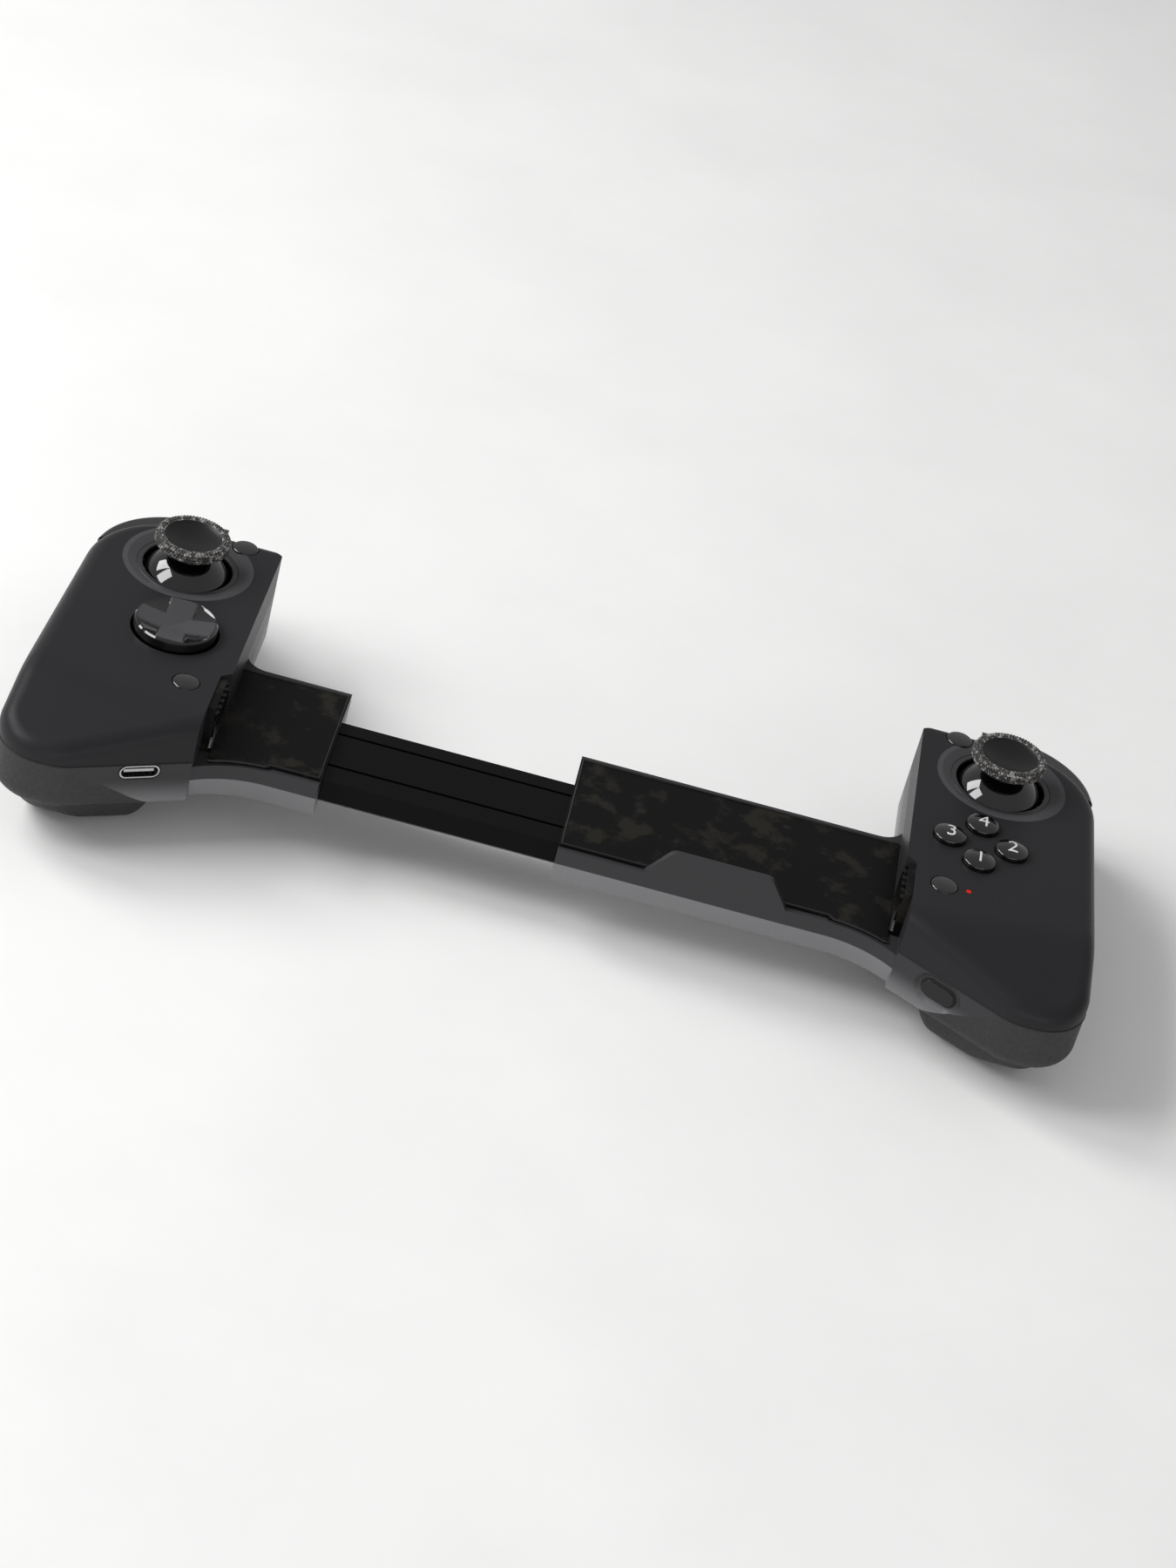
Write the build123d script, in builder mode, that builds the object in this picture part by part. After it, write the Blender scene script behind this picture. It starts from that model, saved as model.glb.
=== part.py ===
from build123d import *
import os
from math import atan2, cos, degrees, radians, sin, tan

# Telescopic game controller that holds a phone between two grips.
# Millimetres. X runs from the left grip to the right one, Y towards the shoulder buttons and Z out of the
# face. The controller lies on the backs of its handles. The origin is the middle of its footprint.
# Left and right mean the user's, with the face up. A grip and all that it carries is drawn as a right one,
# with X from its inner wall. It is then moved out to its place, and mirrored for the left.

# Driving sizes of the whole
inner_half = 75.5          # grip's inner wall from the middle, opened for a large phone
recess_x = 2.2             # bottom of the recess for the end pad
shoulder_x = 41.0          # outer side at the shoulder buttons
handle_x = 44.0            # outer side at the handle's tip
half_depth = 52.5          # handle tips from the middle
grip_top_y = 38.9          # shoulder wall
handle_drop = 10.0         # textured handle cover below the back shell
back_height = 12.0         # back shell
front_height = 10.0        # front shell
rest_depth = 11.0          # phone rest below the face
wall = 2.0                 # shells
joint_gap = 0.3            # between a moving piece and the edge it passes
slip_fit = 0.15            # button in its hole
pin_fit = 0.05             # pin in its bore
seat_fit = 0.03            # fixed piece in its seat
overrun = 5.0              # how far a cut runs past what it cuts
tight_corner_share = 0.12  # least rounding left on a corner that is moved in
level_share = 0.01         # part of a face's normal that counts as none
half_share = 0.5

span = 2 * (handle_x + half_depth)    # side of a block that cuts all beyond a plane
shell_bottom_z = handle_drop
seam_z = shell_bottom_z + back_height
face_z = seam_z + front_height
rest_z = face_z - rest_depth
inside_z = face_z - wall
floor_z = shell_bottom_z + wall

# Grip outline seen from the front
tip_width = 16.0           # handle's tip, up to its slanted front edge
recess_top_y = -16.2       # upper end of the end pad's recess
recess_slant = 2.0
recess_bottom_y = -38.1    # corner between the recess and the slanted front edge
shoulder_radius = 20.0
tip_radius = 11.0
rim_radius = 4.0           # rounding of the face's outer edge
back_radius = 4.0          # rounding of the back's outer edge
corner_notch = 1.9         # step at the inner end of the shoulder

# Slope of the face over the handle
crease_inner = (2.0, -37.2)
crease_outer = (21.4, -33.4)
slope_drop = 4.39          # at the handle's tip
crease_radius = 30.0

# Wing: tray under the phone
wing_y = -13.5             # middle of the wing
pad_half_width = 17.1
rim_half_width = 18.7
waist_half_width = 19.2
base_half_width = 16.7
rim_drop = 0.5             # wing's rim below the phone rest
waist_depth = 3.7          # widest level below the phone rest
wing_depth = 9.6           # wing's base below the phone rest
right_wing_length = 73.4
left_wing_length = 24.6
pad_thickness = 0.8
flare_length = 15.7        # where the wing's front edge runs out to the grip
flare_radius_back = 5.0
lip_start, lip_end = -54.5, -22.8
lip_top_start, lip_top_end = -49.3, -27.3
lip_height = 6.9
lip_thickness = 1.6
lip_radius = 2.5

# Rail: flat tube that joins the halves
rail_offset = -2.4         # rail's middle from the wing's middle
rail_top_half = 11.5
rail_waist_half = 12.8
rail_base_half = 10.8
rail_top_drop = 2.0        # rail's top below the phone rest
rail_waist_drop = 6.3
rail_base_drop = 8.0
rail_wall = 1.3
rail_free_x = 30.0         # rail's end inside the long wing, from the middle
rail_seat = 3.0            # rail's end inside the left grip, from its inner wall
rail_gap = 0.25
groove_offsets = (-5.4, 7.0)
groove_width = 0.8
groove_depth = 0.5

# Springs and flat cable in the rail
rail_spring_spread = 8.5
rail_spring_radius = 1.05
rail_spring_wire = 0.45
rail_spring_turns = 24
rail_spring_inset = 22.5   # fixed end inside the rail, from the rail's end
rail_post_radius = 0.6
cable_width = 8.0
cable_thickness = 0.3

# Analogue stick
stick_x, stick_y = 19.0, 22.0
stick_pivot_z = 24.0
stick_hole_radius = 10.6
stick_dish_radius = 13.7
stick_dish_depth = 0.8
ring_outer, ring_inner = 11.5, 10.2
ring_height = 0.7
dome_radius = 11.4
dome_wall = 1.1
dome_skirt_angle = 76.0
dome_middle_share = 0.7
neck_radius = 4.5
neck_top = 11.5            # heights on the stick are above its pivot
cap_radius = 8.2
cap_brim = 13.2
cap_top = 15.5
cap_dish_radius = 6.6
cap_dish_depth = 1.3
cap_edge = 0.7
shaft_radius = 1.9
shaft_top = 13.0
shaft_bottom = -3.0
housing_side = 13.0
housing_chamfer = 2.0
housing_wall = 1.2
housing_top = 3.5          # above the pivot
housing_lid = 0.6
housing_mouth = 4.2
yoke_length, yoke_width, yoke_height = 9.6, 8.4, 3.0
yoke_inner_length, yoke_inner_width = 6.6, 6.2
yoke_pin_radius = 1.0
rocker_length, rocker_width, rocker_height = 5.6, 5.4, 3.4
rocker_pin_radius = 0.9

# Circuit board and button membrane
board_bottom_z = 17.3
board_thickness = 1.2
board_gap = 0.3            # board from the inner wall
board_margin = 4.4         # board from the grip's outer sides, clear of the power button when pressed
membrane_thickness = 0.8
dome_base_radius, dome_tip_radius, dome_height = 2.2, 1.4, 3.5
button_foot_gap = 1.1      # between a button and its rubber dome

# Buttons on the face
action_x, action_y = 15.6, -5.2
action_spread = 6.95
action_radius = 3.65
action_proud = 2.0
action_crown = 0.9
action_flange = 0.75       # wider than the button by this much
flange_thickness = 1.0
flange_gap = 0.1
upper_button = (8.5, 34.5)
lower_button = (8.7, -23.8)
small_radius = 3.0
small_proud = 0.4
small_crown = 0.25
small_stem = 1.9

# Direction pad
pad_x, pad_y = 15.6, -5.2
disc_radius = 9.3
disc_gap = 0.6
disc_proud = 2.6
disc_bottom_z = 28.6
disc_dish = 1.3
cross_width = 6.0
cross_rise = 0.5
carrier_outer, carrier_inner = 8.0, 6.5
carrier_z = 25.7
carrier_height = 2.6
carrier_pin_radius = 0.8
carrier_boss_width = 2.2
carrier_boss_gap = 0.3
lug_length, lug_width = 3.0, 1.2
lug_pin_radius = 0.75

# Status lights
light_x, light_y = 14.1, -23.8
light_pitch = 2.97
light_count = 4
light_radius = 0.55
light_bar_width = 2.0
light_bar_height = 1.0

# Power button and charging socket on the slanted front edge
edge_fitting_x = 12.2
power_length, power_width = 8.2, 3.9
power_z = 18.0
power_depth = 3.0
power_flange = 0.8
scoop_margin = 1.8         # sloping recess around the power button
scoop_depth = 0.7
scoop_taper = 50.0
socket_length, socket_height = 8.9, 3.2
socket_depth = 7.5
socket_wall = 0.35
tongue_width, tongue_thickness = 6.6, 0.7

# Shoulder button
bumper_start_x = 14.0
bumper_end_y = 27.0
bumper_inset = 3.0
bumper_reach = 5.5
bumper_side_shift = 0.6
bumper_bottom_z = 23.6
bumper_top_z = 30.0
bumper_pivot = (16.1, 36.4)
bumper_pin_radius = 0.9
bumper_edge = 1.2
bumper_swing_room = 1.9
window_margin = 0.3

# Trigger
trigger_pivot_y, trigger_pivot_z = 32.5, 18.0
trigger_left_x = 14.5
trigger_outer_inset = 2.9  # from the shoulder's outer side
trigger_arm_inset_left, trigger_arm_inset_right = 6.0, 6.2    # arm from the finger plate's sides
trigger_hub_radius = 2.9
trigger_pin_radius = 1.0
trigger_plate = 3.4
trigger_cheek = 1.6        # side walls behind the finger plate
trigger_swing = 15.0       # full pull
trigger_gap = 0.9          # between the shoulder wall and the finger plate's root
trigger_reach = 13.6       # tip from the shoulder wall
trigger_crown = 3.5        # flat top of the finger plate
trigger_top_z = 22.9
trigger_tip_z = 4.6
trigger_window_bottom = 12.6
ear_thickness = 2.0
ear_gap = 0.2
ear_radius = 2.6
trigger_spring_radius = 1.75
trigger_spring_wire = 0.25
trigger_spring_turns = 4
trigger_spring_pitch_share = 2.4   # pitch from the wire's radius
trigger_tip_share = 0.3            # rounding of the tip from the plate's thickness

# Rear paddle
paddle_left_x, paddle_right_x = 4.3, 11.8
paddle_top_y, paddle_bottom_y = 12.6, -16.0
paddle_proud = 3.0
paddle_pivot_y, paddle_pivot_z = 11.0, 13.6
paddle_hub_radius = 1.7
paddle_pin_radius = 0.8
paddle_ear_thickness = 1.6

# Textured handle cover
cover_inner_x, cover_slant_x = 9.0, 19.5
cover_outer_inset = 0.9    # from the shoulder's outer side
cover_top_y, cover_bottom_y = 15.0, -47.2
cover_tip_width, cover_corner_y = 13.1, -37.5
cover_radii = (6.0, 8.0, 9.0, 9.0, 7.0)
cover_level_shares = (1.0, 0.62, 0.3, 0.09, 0.0)
cover_inset_shares = (0.0, 0.13, 0.38, 0.72, 1.0)
cover_draw_in = (7.0, 5.5, 14.0, 9.0, 7.0)   # from the rim to the lowest face, clockwise from the top side
sleeve_thickness = 0.8     # skin of the cover around the handle
sleeve_low_x, sleeve_high_x = 10.8, 26.8    # where its edge starts and meets the seam, on the front wall
sleeve_low_z = 12.0
sleeve_back_y = 10.0       # where its edge ends at the outer side
sleeve_drop = 0.3          # its top below the seam
battery_hatch_room = (2.9, 1.0, 1.0, 2.0)     # around the cell: inner, outer, lower and upper side
battery_size = (14.6, 29.0, 6.4)
battery_outer_inset, battery_y = 13.3, -13.5
battery_radius = 2.0
battery_z = 5.3

# Screws that join the shells
inner_screws = ((4.9, 27.0), (7.0, -33.0))
outer_screw_insets = ((4.0, 8.0), (6.5, -38.0))    # from the shoulder's outer side
boss_radius = 2.4
screw_radius = 1.0
screw_head_radius = 1.8
screw_head_height = 1.0
screw_head_recess = 1.2
screw_reach = 4.0          # thread inside the front shell's post
drive_length, drive_width, drive_depth = 2.0, 0.45, 0.5
board_notch_gap = 0.3

# End pad in the recess of the inner wall
end_pad_gap = 0.3
end_pad_rib = 0.5
end_pad_rib_count = 5
end_pad_rib_width = 0.7
end_pad_clear = 0.4


def plan(z):
    """Plane parallel to the face at height z."""
    return Plane.XY.offset(z)


def side_plane(x, y, z):
    """Upright plane at a point, with X to the right and Z up."""
    return Plane(origin=(x, y, z), x_dir=(1, 0, 0), z_dir=(0, -1, 0))


def section_plane(x):
    """Plane across the wings at x, with Y to the right and Z up."""
    return Plane(origin=(x, 0, 0), x_dir=(0, 1, 0), z_dir=(1, 0, 0))


def grip_corners():
    """Corners of the grip with the radius of each, clockwise from the inner end of the shoulder."""
    return [
        (corner_notch, grip_top_y, 0),
        (shoulder_x, grip_top_y, shoulder_radius),
        (handle_x, -half_depth, tip_radius),
        (tip_inner_x, -half_depth, tip_radius),
        (recess_x, recess_bottom_y, 0),
        (recess_x, recess_top_y - recess_slant, 0),
        (0, recess_top_y, 0),
        (0, grip_top_y - 2 * corner_notch, 0),
        (corner_notch, grip_top_y - corner_notch, 0),
    ]


def cover_corners():
    """Corners of the handle cover's rim, clockwise from its inner top corner."""
    places = [
        (cover_slant_x, cover_top_y),
        (cover_outer_x, cover_top_y),
        (cover_outer_x, cover_bottom_y),
        (cover_outer_x - cover_tip_width, cover_bottom_y),
        (cover_inner_x, cover_corner_y),
    ]
    return [(x, y, radius) for (x, y), radius in zip(places, cover_radii)]


def moved_in(corners, inset):
    """The same clockwise outline with its sides moved in, all by inset or each by its own, and its roundings
    shrunk to match."""
    insets = inset if isinstance(inset, list) else [inset] * len(corners)
    sides = []
    for (x0, y0, _), (x1, y1, _), step in zip(corners, corners[1:] + corners[:1], insets):
        along = Vector(x1 - x0, y1 - y0).normalized()
        inward = Vector(along.Y, -along.X)
        sides.append((Vector(x0, y0) + inward * step, along))
    result = []
    for index, (_, _, radius) in enumerate(corners):
        (start, before), (point, after) = sides[index - 1], sides[index]
        gap = point - start
        across = before.X * after.Y - before.Y * after.X
        reach = (gap.X * after.Y - gap.Y * after.X) / across
        corner = start + before * reach
        shrink = (insets[index - 1] + insets[index]) / 2
        result.append((corner.X, corner.Y, max(radius - shrink, radius * tight_corner_share)))
    return result


def outline(corners, z):
    """Rounded outline as a sketch at height z."""
    with BuildSketch(plan(z)) as sketch:
        with BuildLine():
            FilletPolyline(
                *[(x, y) for x, y, _ in corners], radius=[r for _, _, r in corners], close=True,
            )
        make_face()
    return sketch.sketch


def slope_plane():
    """Plane across the crease: its X runs up the face and its Y runs out of the face."""
    turn = atan2(crease_outer[1] - crease_inner[1], crease_outer[0] - crease_inner[0])
    return Plane(
        origin=(*crease_inner, 0), x_dir=(-sin(turn), cos(turn), 0), z_dir=(cos(turn), sin(turn), 0)
    )


def face_profile(drop):
    """Flat face and its slope over the handle, lowered by drop, as a sketch across the crease."""
    low = -half_depth
    top = face_z - drop
    foot = top + low * slope_drop / (half_depth + crease_inner[1])
    with BuildSketch(slope_plane()) as sketch:
        with BuildLine():
            FilletPolyline(
                (span, top), (0, top), (low, foot), (low, low), (span, low),
                radius=[0, crease_radius, 0, 0, 0],
                close=True,
            )
        make_face()
    return sketch.sketch


def edge_direction():
    """Unit vector along the slanted front edge, from the recess towards the tip."""
    return Vector(tip_inner_x - recess_x, -half_depth - recess_bottom_y).normalized()


def edge_plane(x, z):
    """Plane in the slanted front wall at x and z: its X runs along the wall, its Z points out of it."""
    along = edge_direction()
    y = recess_bottom_y + (x - recess_x) * along.Y / along.X
    return Plane(origin=(x, y, z), x_dir=(along.X, along.Y, 0), z_dir=(along.Y, -along.X, 0))


def action_places():
    """Left, top, right and bottom action buttons."""
    return {
        "left": (action_x - action_spread, action_y),
        "top": (action_x, action_y + action_spread),
        "right": (action_x + action_spread, action_y),
        "bottom": (action_x, action_y - action_spread),
    }


def outer_edges(builder, level):
    """Edges around the grip at its outer sides, off the given level and off the inner wall."""
    sides = builder.faces().filter_by(lambda f: abs(f.normal_at().Z) < level_share)
    sides = sides.filter_by(lambda f: f.center().X > recess_x + 2 * wall)
    edges = ShapeList()
    for side in sides:
        for edge in side.edges():
            box = edge.bounding_box()
            if box.min.Z > level + slip_fit or box.max.Z < level - slip_fit:
                edges.append(edge)
    return edges


def keep(builder, name):
    """Label a finished piece and write it."""
    builder.part.label = name
    export_step(builder.part, f"parts/{name}.step")


def keep_right(builder, name):
    """Move a grip's piece out to its place on the right and write it."""
    with BuildPart() as placed:
        add(builder.part.moved(Location((inner_half, 0, 0))))
    keep(placed, name)


def keep_left(builder, name):
    """Move a grip's piece out, mirror it to the left and write it."""
    with BuildPart() as placed:
        mirror(builder.part.moved(Location((inner_half, 0, 0))), about=Plane.YZ)
    keep(placed, name)


def holes(places, radius, bottom, top):
    """Cut round holes between two heights."""
    with BuildSketch(plan(bottom)) as rounds:
        with Locations(*places):
            Circle(radius)
    extrude(rounds.sketch, amount=top - bottom, mode=Mode.SUBTRACT)


def rods(places, radius, bottom, top):
    """Add round rods between two heights."""
    with BuildSketch(plan(bottom)) as rounds:
        with Locations(*places):
            Circle(radius)
    extrude(rounds.sketch, amount=top - bottom)


def cross_rod(x0, x1, y, z, radius, mode=Mode.ADD):
    """Rod along X, added or cut."""
    with BuildSketch(section_plane(x0)) as end:
        with Locations((y, z)):
            Circle(radius)
    extrude(end.sketch, amount=x1 - x0, mode=mode)


def block(low, high, mode=Mode.ADD):
    """Box between two opposite corners, added or cut."""
    with BuildSketch(plan(low[2])) as base:
        with Locations(((low[0] + high[0]) / 2, (low[1] + high[1]) / 2)):
            Rectangle(high[0] - low[0], high[1] - low[1])
    extrude(base.sketch, amount=high[2] - low[2], mode=mode)


# Places shared by several pieces
tip_inner_x = handle_x - tip_width
trigger_right_x = shoulder_x - trigger_outer_inset
trigger_arm_left = trigger_left_x + trigger_arm_inset_left
trigger_arm_right = trigger_right_x - trigger_arm_inset_right
cover_outer_x = shoulder_x - cover_outer_inset
battery_x = shoulder_x - battery_outer_inset
screw_places = (*inner_screws, *[(shoulder_x - inset, y) for inset, y in outer_screw_insets])
board_inner_x = recess_x + wall + board_gap
rail_y = wing_y + rail_offset
rail_top_z = rest_z - rail_top_drop
rail_waist_z = rest_z - rail_waist_drop
rail_base_z = rest_z - rail_base_drop
wing_base_z = rest_z - wing_depth
pad_seat_z = rest_z - pad_thickness
board_top_z = board_bottom_z + board_thickness
membrane_top_z = board_top_z + membrane_thickness
rubber_dome_z = membrane_top_z + dome_height
button_foot_z = rubber_dome_z + button_foot_gap
flange_top_z = inside_z - flange_gap
ring_seat_z = face_z - stick_dish_depth - ring_height
small_hole = small_radius + slip_fit
action_hole = action_radius + slip_fit
trigger_ears = (
    (trigger_arm_right + ear_gap, trigger_arm_right + ear_gap + ear_thickness),
    (bumper_start_x + ear_gap, bumper_start_x + ear_gap + ear_thickness),
)
paddle_ears = (
    (paddle_left_x - joint_gap - paddle_ear_thickness, paddle_left_x - joint_gap),
    (paddle_right_x + joint_gap, paddle_right_x + joint_gap + paddle_ear_thickness),
)
spring_y = (rail_y - rail_spring_spread, rail_y + rail_spring_spread)
spring_z = (rail_base_z + rail_top_z) / 2 - rail_gap / 2
spring_post_x = rail_seat + rail_gap
spring_posts = [(spring_post_x, y) for y in spring_y]
window_half = rail_waist_half + rail_gap


def front_shell(with_pad):
    """Front shell. The left one has a single hole for the direction pad in place of the action buttons."""
    with BuildPart() as cavity:
        extrude(outline(moved_in(grip_corners(), wall), seam_z), amount=front_height - wall)
        extrude(face_profile(wall), amount=span, both=True, mode=Mode.INTERSECT)
        holes(screw_places, boss_radius, seam_z, face_z)
        if with_pad:
            for centre in carrier_bosses():
                block(*boss_box(centre), mode=Mode.SUBTRACT)
    with BuildPart() as shell:
        extrude(outline(grip_corners(), seam_z), amount=front_height)
        extrude(face_profile(0), amount=span, both=True, mode=Mode.INTERSECT)
        fillet(outer_edges(shell, seam_z), radius=rim_radius)
        add(cavity.part, mode=Mode.SUBTRACT)
        holes(screw_places, screw_radius + pin_fit, seam_z - overrun, seam_z + screw_reach + pin_fit)
        holes([(stick_x, stick_y)], stick_hole_radius, inside_z - overrun, face_z + overrun)
        holes([(stick_x, stick_y)], ring_outer + seat_fit, ring_seat_z, face_z + overrun)
        with BuildSketch(side_plane(stick_x, stick_y, face_z)):
            with BuildLine():
                Polyline(
                    (0, 0), (stick_dish_radius, 0), (ring_outer, -stick_dish_depth),
                    (0, -stick_dish_depth), close=True,
                )
            make_face()
        revolve(axis=Axis((stick_x, stick_y, 0), (0, 0, 1)), mode=Mode.SUBTRACT)
        holes([upper_button, lower_button], small_hole, inside_z - overrun / 2, face_z + overrun)
        if with_pad:
            holes([(pad_x, pad_y)], disc_radius + disc_gap, inside_z - overrun / 5, face_z + overrun)
            for start, end in carrier_pin_spans():
                cross_rod(start, end, pad_y, carrier_z, carrier_pin_radius + pin_fit, mode=Mode.SUBTRACT)
        else:
            holes(list(action_places().values()), action_hole, inside_z - overrun / 2, face_z + overrun)
            holes(light_places(), light_radius + seat_fit, inside_z - overrun / 2, face_z + overrun)
        bumper_window()
        bumper_pin_seats()
    return shell


def bumper_window():
    """Opening in the shoulder wall for the shoulder button."""
    block(
        (bumper_start_x - window_margin, bumper_end_y - bumper_swing_room, bumper_bottom_z - window_margin),
        (handle_x + overrun, grip_top_y + overrun, bumper_top_z),
        mode=Mode.SUBTRACT,
    )


def bumper_pin_seats():
    """Bracket under the shoulder button with the lower seat of its pin, and the upper seat in the face."""
    half = bumper_pin_radius + wall / 2
    x, y = bumper_pivot
    block(
        (x - half, y - half, seam_z),
        (x + half, grip_top_y - wall + seat_fit, bumper_bottom_z - window_margin),
    )
    holes([bumper_pivot], bumper_pin_radius + seat_fit, seam_z, inside_z + wall / 2)


def carrier_pin_spans():
    """Where the direction pad carrier's two pins run, along X."""
    reach = disc_radius + disc_gap + carrier_boss_gap + carrier_boss_width
    return (
        (pad_x - reach, pad_x - carrier_outer - carrier_boss_gap),
        (pad_x + carrier_outer + carrier_boss_gap, pad_x + reach),
    )


def carrier_bosses():
    """Centres of the bosses that hold the carrier's pins."""
    offset = disc_radius + disc_gap + carrier_boss_gap + carrier_boss_width / 2
    return (pad_x - offset, pad_x + offset)


def boss_box(centre):
    """Corners of one carrier boss, hanging from the face."""
    half = carrier_boss_width / 2
    depth = carrier_pin_radius + wall / 2
    return (
        (centre - half, pad_y - depth, carrier_z - depth),
        (centre + half, pad_y + depth, face_z),
    )


def light_places():
    """Row of status lights."""
    return [(light_x + light_pitch * index, light_y) for index in range(light_count)]


def back_shell(with_socket):
    """Back shell. The left one has the charging socket's mouth, the right one the power button's hole."""
    with BuildPart() as cavity:
        extrude(outline(moved_in(grip_corners(), wall), floor_z), amount=back_height - wall)
        fillet(outer_edges(cavity, seam_z), radius=back_radius - wall)
        holes(screw_places, boss_radius, floor_z, seam_z)
        for start, end in trigger_ears:
            ear(start, end, trigger_pivot_y, trigger_pivot_z, ear_radius, mode=Mode.SUBTRACT)
        for start, end in paddle_ears:
            ear(start, end, paddle_pivot_y, paddle_pivot_z, paddle_hub_radius, mode=Mode.SUBTRACT)
        if not with_socket:
            holes(spring_posts, rail_post_radius, floor_z, board_bottom_z - joint_gap)
    with BuildPart() as shell:
        extrude(outline(grip_corners(), shell_bottom_z), amount=back_height)
        fillet(outer_edges(shell, seam_z), radius=back_radius)
        add(cavity.part, mode=Mode.SUBTRACT)
        add(sleeve_room(), mode=Mode.SUBTRACT)
        # Screw bores and head recesses
        holes(screw_places, screw_radius + pin_fit, shell_bottom_z - overrun, seam_z + overrun)
        holes(
            screw_places, screw_head_radius + slip_fit,
            shell_bottom_z - overrun, shell_bottom_z + screw_head_recess,
        )
        # Opening for the rail and the flat cable
        block(
            (-overrun, rail_y - window_half, rail_base_z - rail_gap),
            (recess_x + wall + seat_fit, rail_y + window_half, rail_top_z + rail_gap),
            mode=Mode.SUBTRACT,
        )
        if not with_socket:
            rods(spring_posts, rail_post_radius, floor_z, board_bottom_z - joint_gap)
        # Pin bores of the trigger and the paddle
        cross_rod(
            trigger_ears[1][0], trigger_ears[0][1], trigger_pivot_y, trigger_pivot_z,
            trigger_pin_radius + seat_fit, mode=Mode.SUBTRACT,
        )
        cross_rod(
            paddle_ears[0][0], paddle_ears[1][1], paddle_pivot_y, paddle_pivot_z,
            paddle_pin_radius + seat_fit, mode=Mode.SUBTRACT,
        )
        # Windows for the trigger's arm, the paddle and the inside of the handle
        block(
            (trigger_arm_left - joint_gap, trigger_pivot_y, trigger_window_bottom),
            (trigger_arm_right + joint_gap, grip_top_y + overrun, seam_z),
            mode=Mode.SUBTRACT,
        )
        block(
            (paddle_left_x - joint_gap, paddle_bottom_y - joint_gap, shell_bottom_z - overrun),
            (paddle_right_x + joint_gap, paddle_top_y + joint_gap, floor_z),
            mode=Mode.SUBTRACT,
        )
        battery_hatch(floor_z)
        if with_socket:
            with BuildSketch(edge_plane(edge_fitting_x, socket_z())):
                SlotOverall(socket_length + 2 * slip_fit, socket_height + 2 * slip_fit)
            extrude(amount=socket_depth, both=True, mode=Mode.SUBTRACT)
        else:
            with BuildSketch(edge_plane(edge_fitting_x, power_z)):
                SlotOverall(power_length + 2 * slip_fit, power_width + 2 * slip_fit)
            extrude(amount=power_depth, both=True, mode=Mode.SUBTRACT)
            with BuildSketch(edge_plane(edge_fitting_x, power_z)):
                SlotOverall(power_length + 2 * scoop_margin, power_width + 2 * scoop_margin)
            extrude(amount=-scoop_depth, taper=scoop_taper, mode=Mode.SUBTRACT)
    return shell


def battery_hatch(top):
    """Cut the opening above the handle, where the battery reaches into it, up to a height."""
    inner, outer, lower, upper = battery_hatch_room
    length, depth, _ = battery_size
    block(
        (battery_x - length / 2 - inner, battery_y - depth / 2 - lower, shell_bottom_z - overrun),
        (battery_x + length / 2 + outer, battery_y + depth / 2 + upper, top),
        mode=Mode.SUBTRACT,
    )


def ear(start, end, y, z, radius, mode):
    """Upright ear from the shell's floor with a round top, around a pin along X."""
    with BuildSketch(section_plane(start)) as side:
        with BuildLine():
            Polyline(
                (y - radius, floor_z), (y - radius, z), (y + radius, z), (y + radius, floor_z), close=True,
            )
        make_face()
        with Locations((y, z)):
            Circle(radius)
    extrude(side.sketch, amount=end - start, mode=mode)


def socket_z():
    """Middle of the charging socket, which stands on the board."""
    return board_top_z + socket_height / 2 + seat_fit


def sleeve_room():
    """Space of the cover's thin skin and all beyond it: outside the handle, below a slanting line."""
    start = Vector(sleeve_low_x, edge_plane(sleeve_low_x, 0).origin.Y, sleeve_low_z)
    rise = Vector(sleeve_high_x, edge_plane(sleeve_high_x, 0).origin.Y, seam_z) - start
    across = Vector(handle_x, sleeve_back_y, sleeve_low_z) - start
    with BuildPart() as core:
        extrude(
            outline(moved_in(grip_corners(), sleeve_thickness), shell_bottom_z + sleeve_thickness),
            amount=back_height,
        )
        fillet(outer_edges(core, seam_z + sleeve_thickness), radius=back_radius - sleeve_thickness)
    with BuildPart() as room:
        block((0, -span, -span), (span, span, seam_z - sleeve_drop))
        with BuildSketch(Plane(origin=start, x_dir=rise, z_dir=rise.cross(across))) as slant:
            Rectangle(2 * span, 2 * span)
        extrude(slant.sketch, amount=-2 * span, mode=Mode.INTERSECT)
        add(core.part, mode=Mode.SUBTRACT)
    return room.part


def handle_sleeve():
    """Thin skin of the textured cover around the handle, as a part."""
    with BuildPart() as sleeve:
        extrude(outline(grip_corners(), shell_bottom_z), amount=back_height)
        fillet(outer_edges(sleeve, seam_z), radius=back_radius)
        add(sleeve_room(), mode=Mode.INTERSECT)
        holes(screw_places, screw_head_radius + slip_fit, shell_bottom_z - overrun, seam_z)
        battery_hatch(seam_z)
    return sleeve.part


def handle_cover():
    """Textured cover of the handle's back: a cup with a flat lowest face and a thin skin above its rim."""
    def cup(inset, drop):
        sections = []
        for level, share in zip(cover_level_shares, cover_inset_shares):
            insets = [inset + draw_in * share for draw_in in cover_draw_in]
            height = drop + (handle_drop - drop) * level
            sections.append(outline(moved_in(cover_corners(), insets), height))
        loft(sections)

    with BuildPart() as inner:
        cup(wall, wall)
    with BuildPart() as cover:
        cup(0, 0)
        add(inner.part, mode=Mode.SUBTRACT)
        add(handle_sleeve())
    return cover


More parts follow.
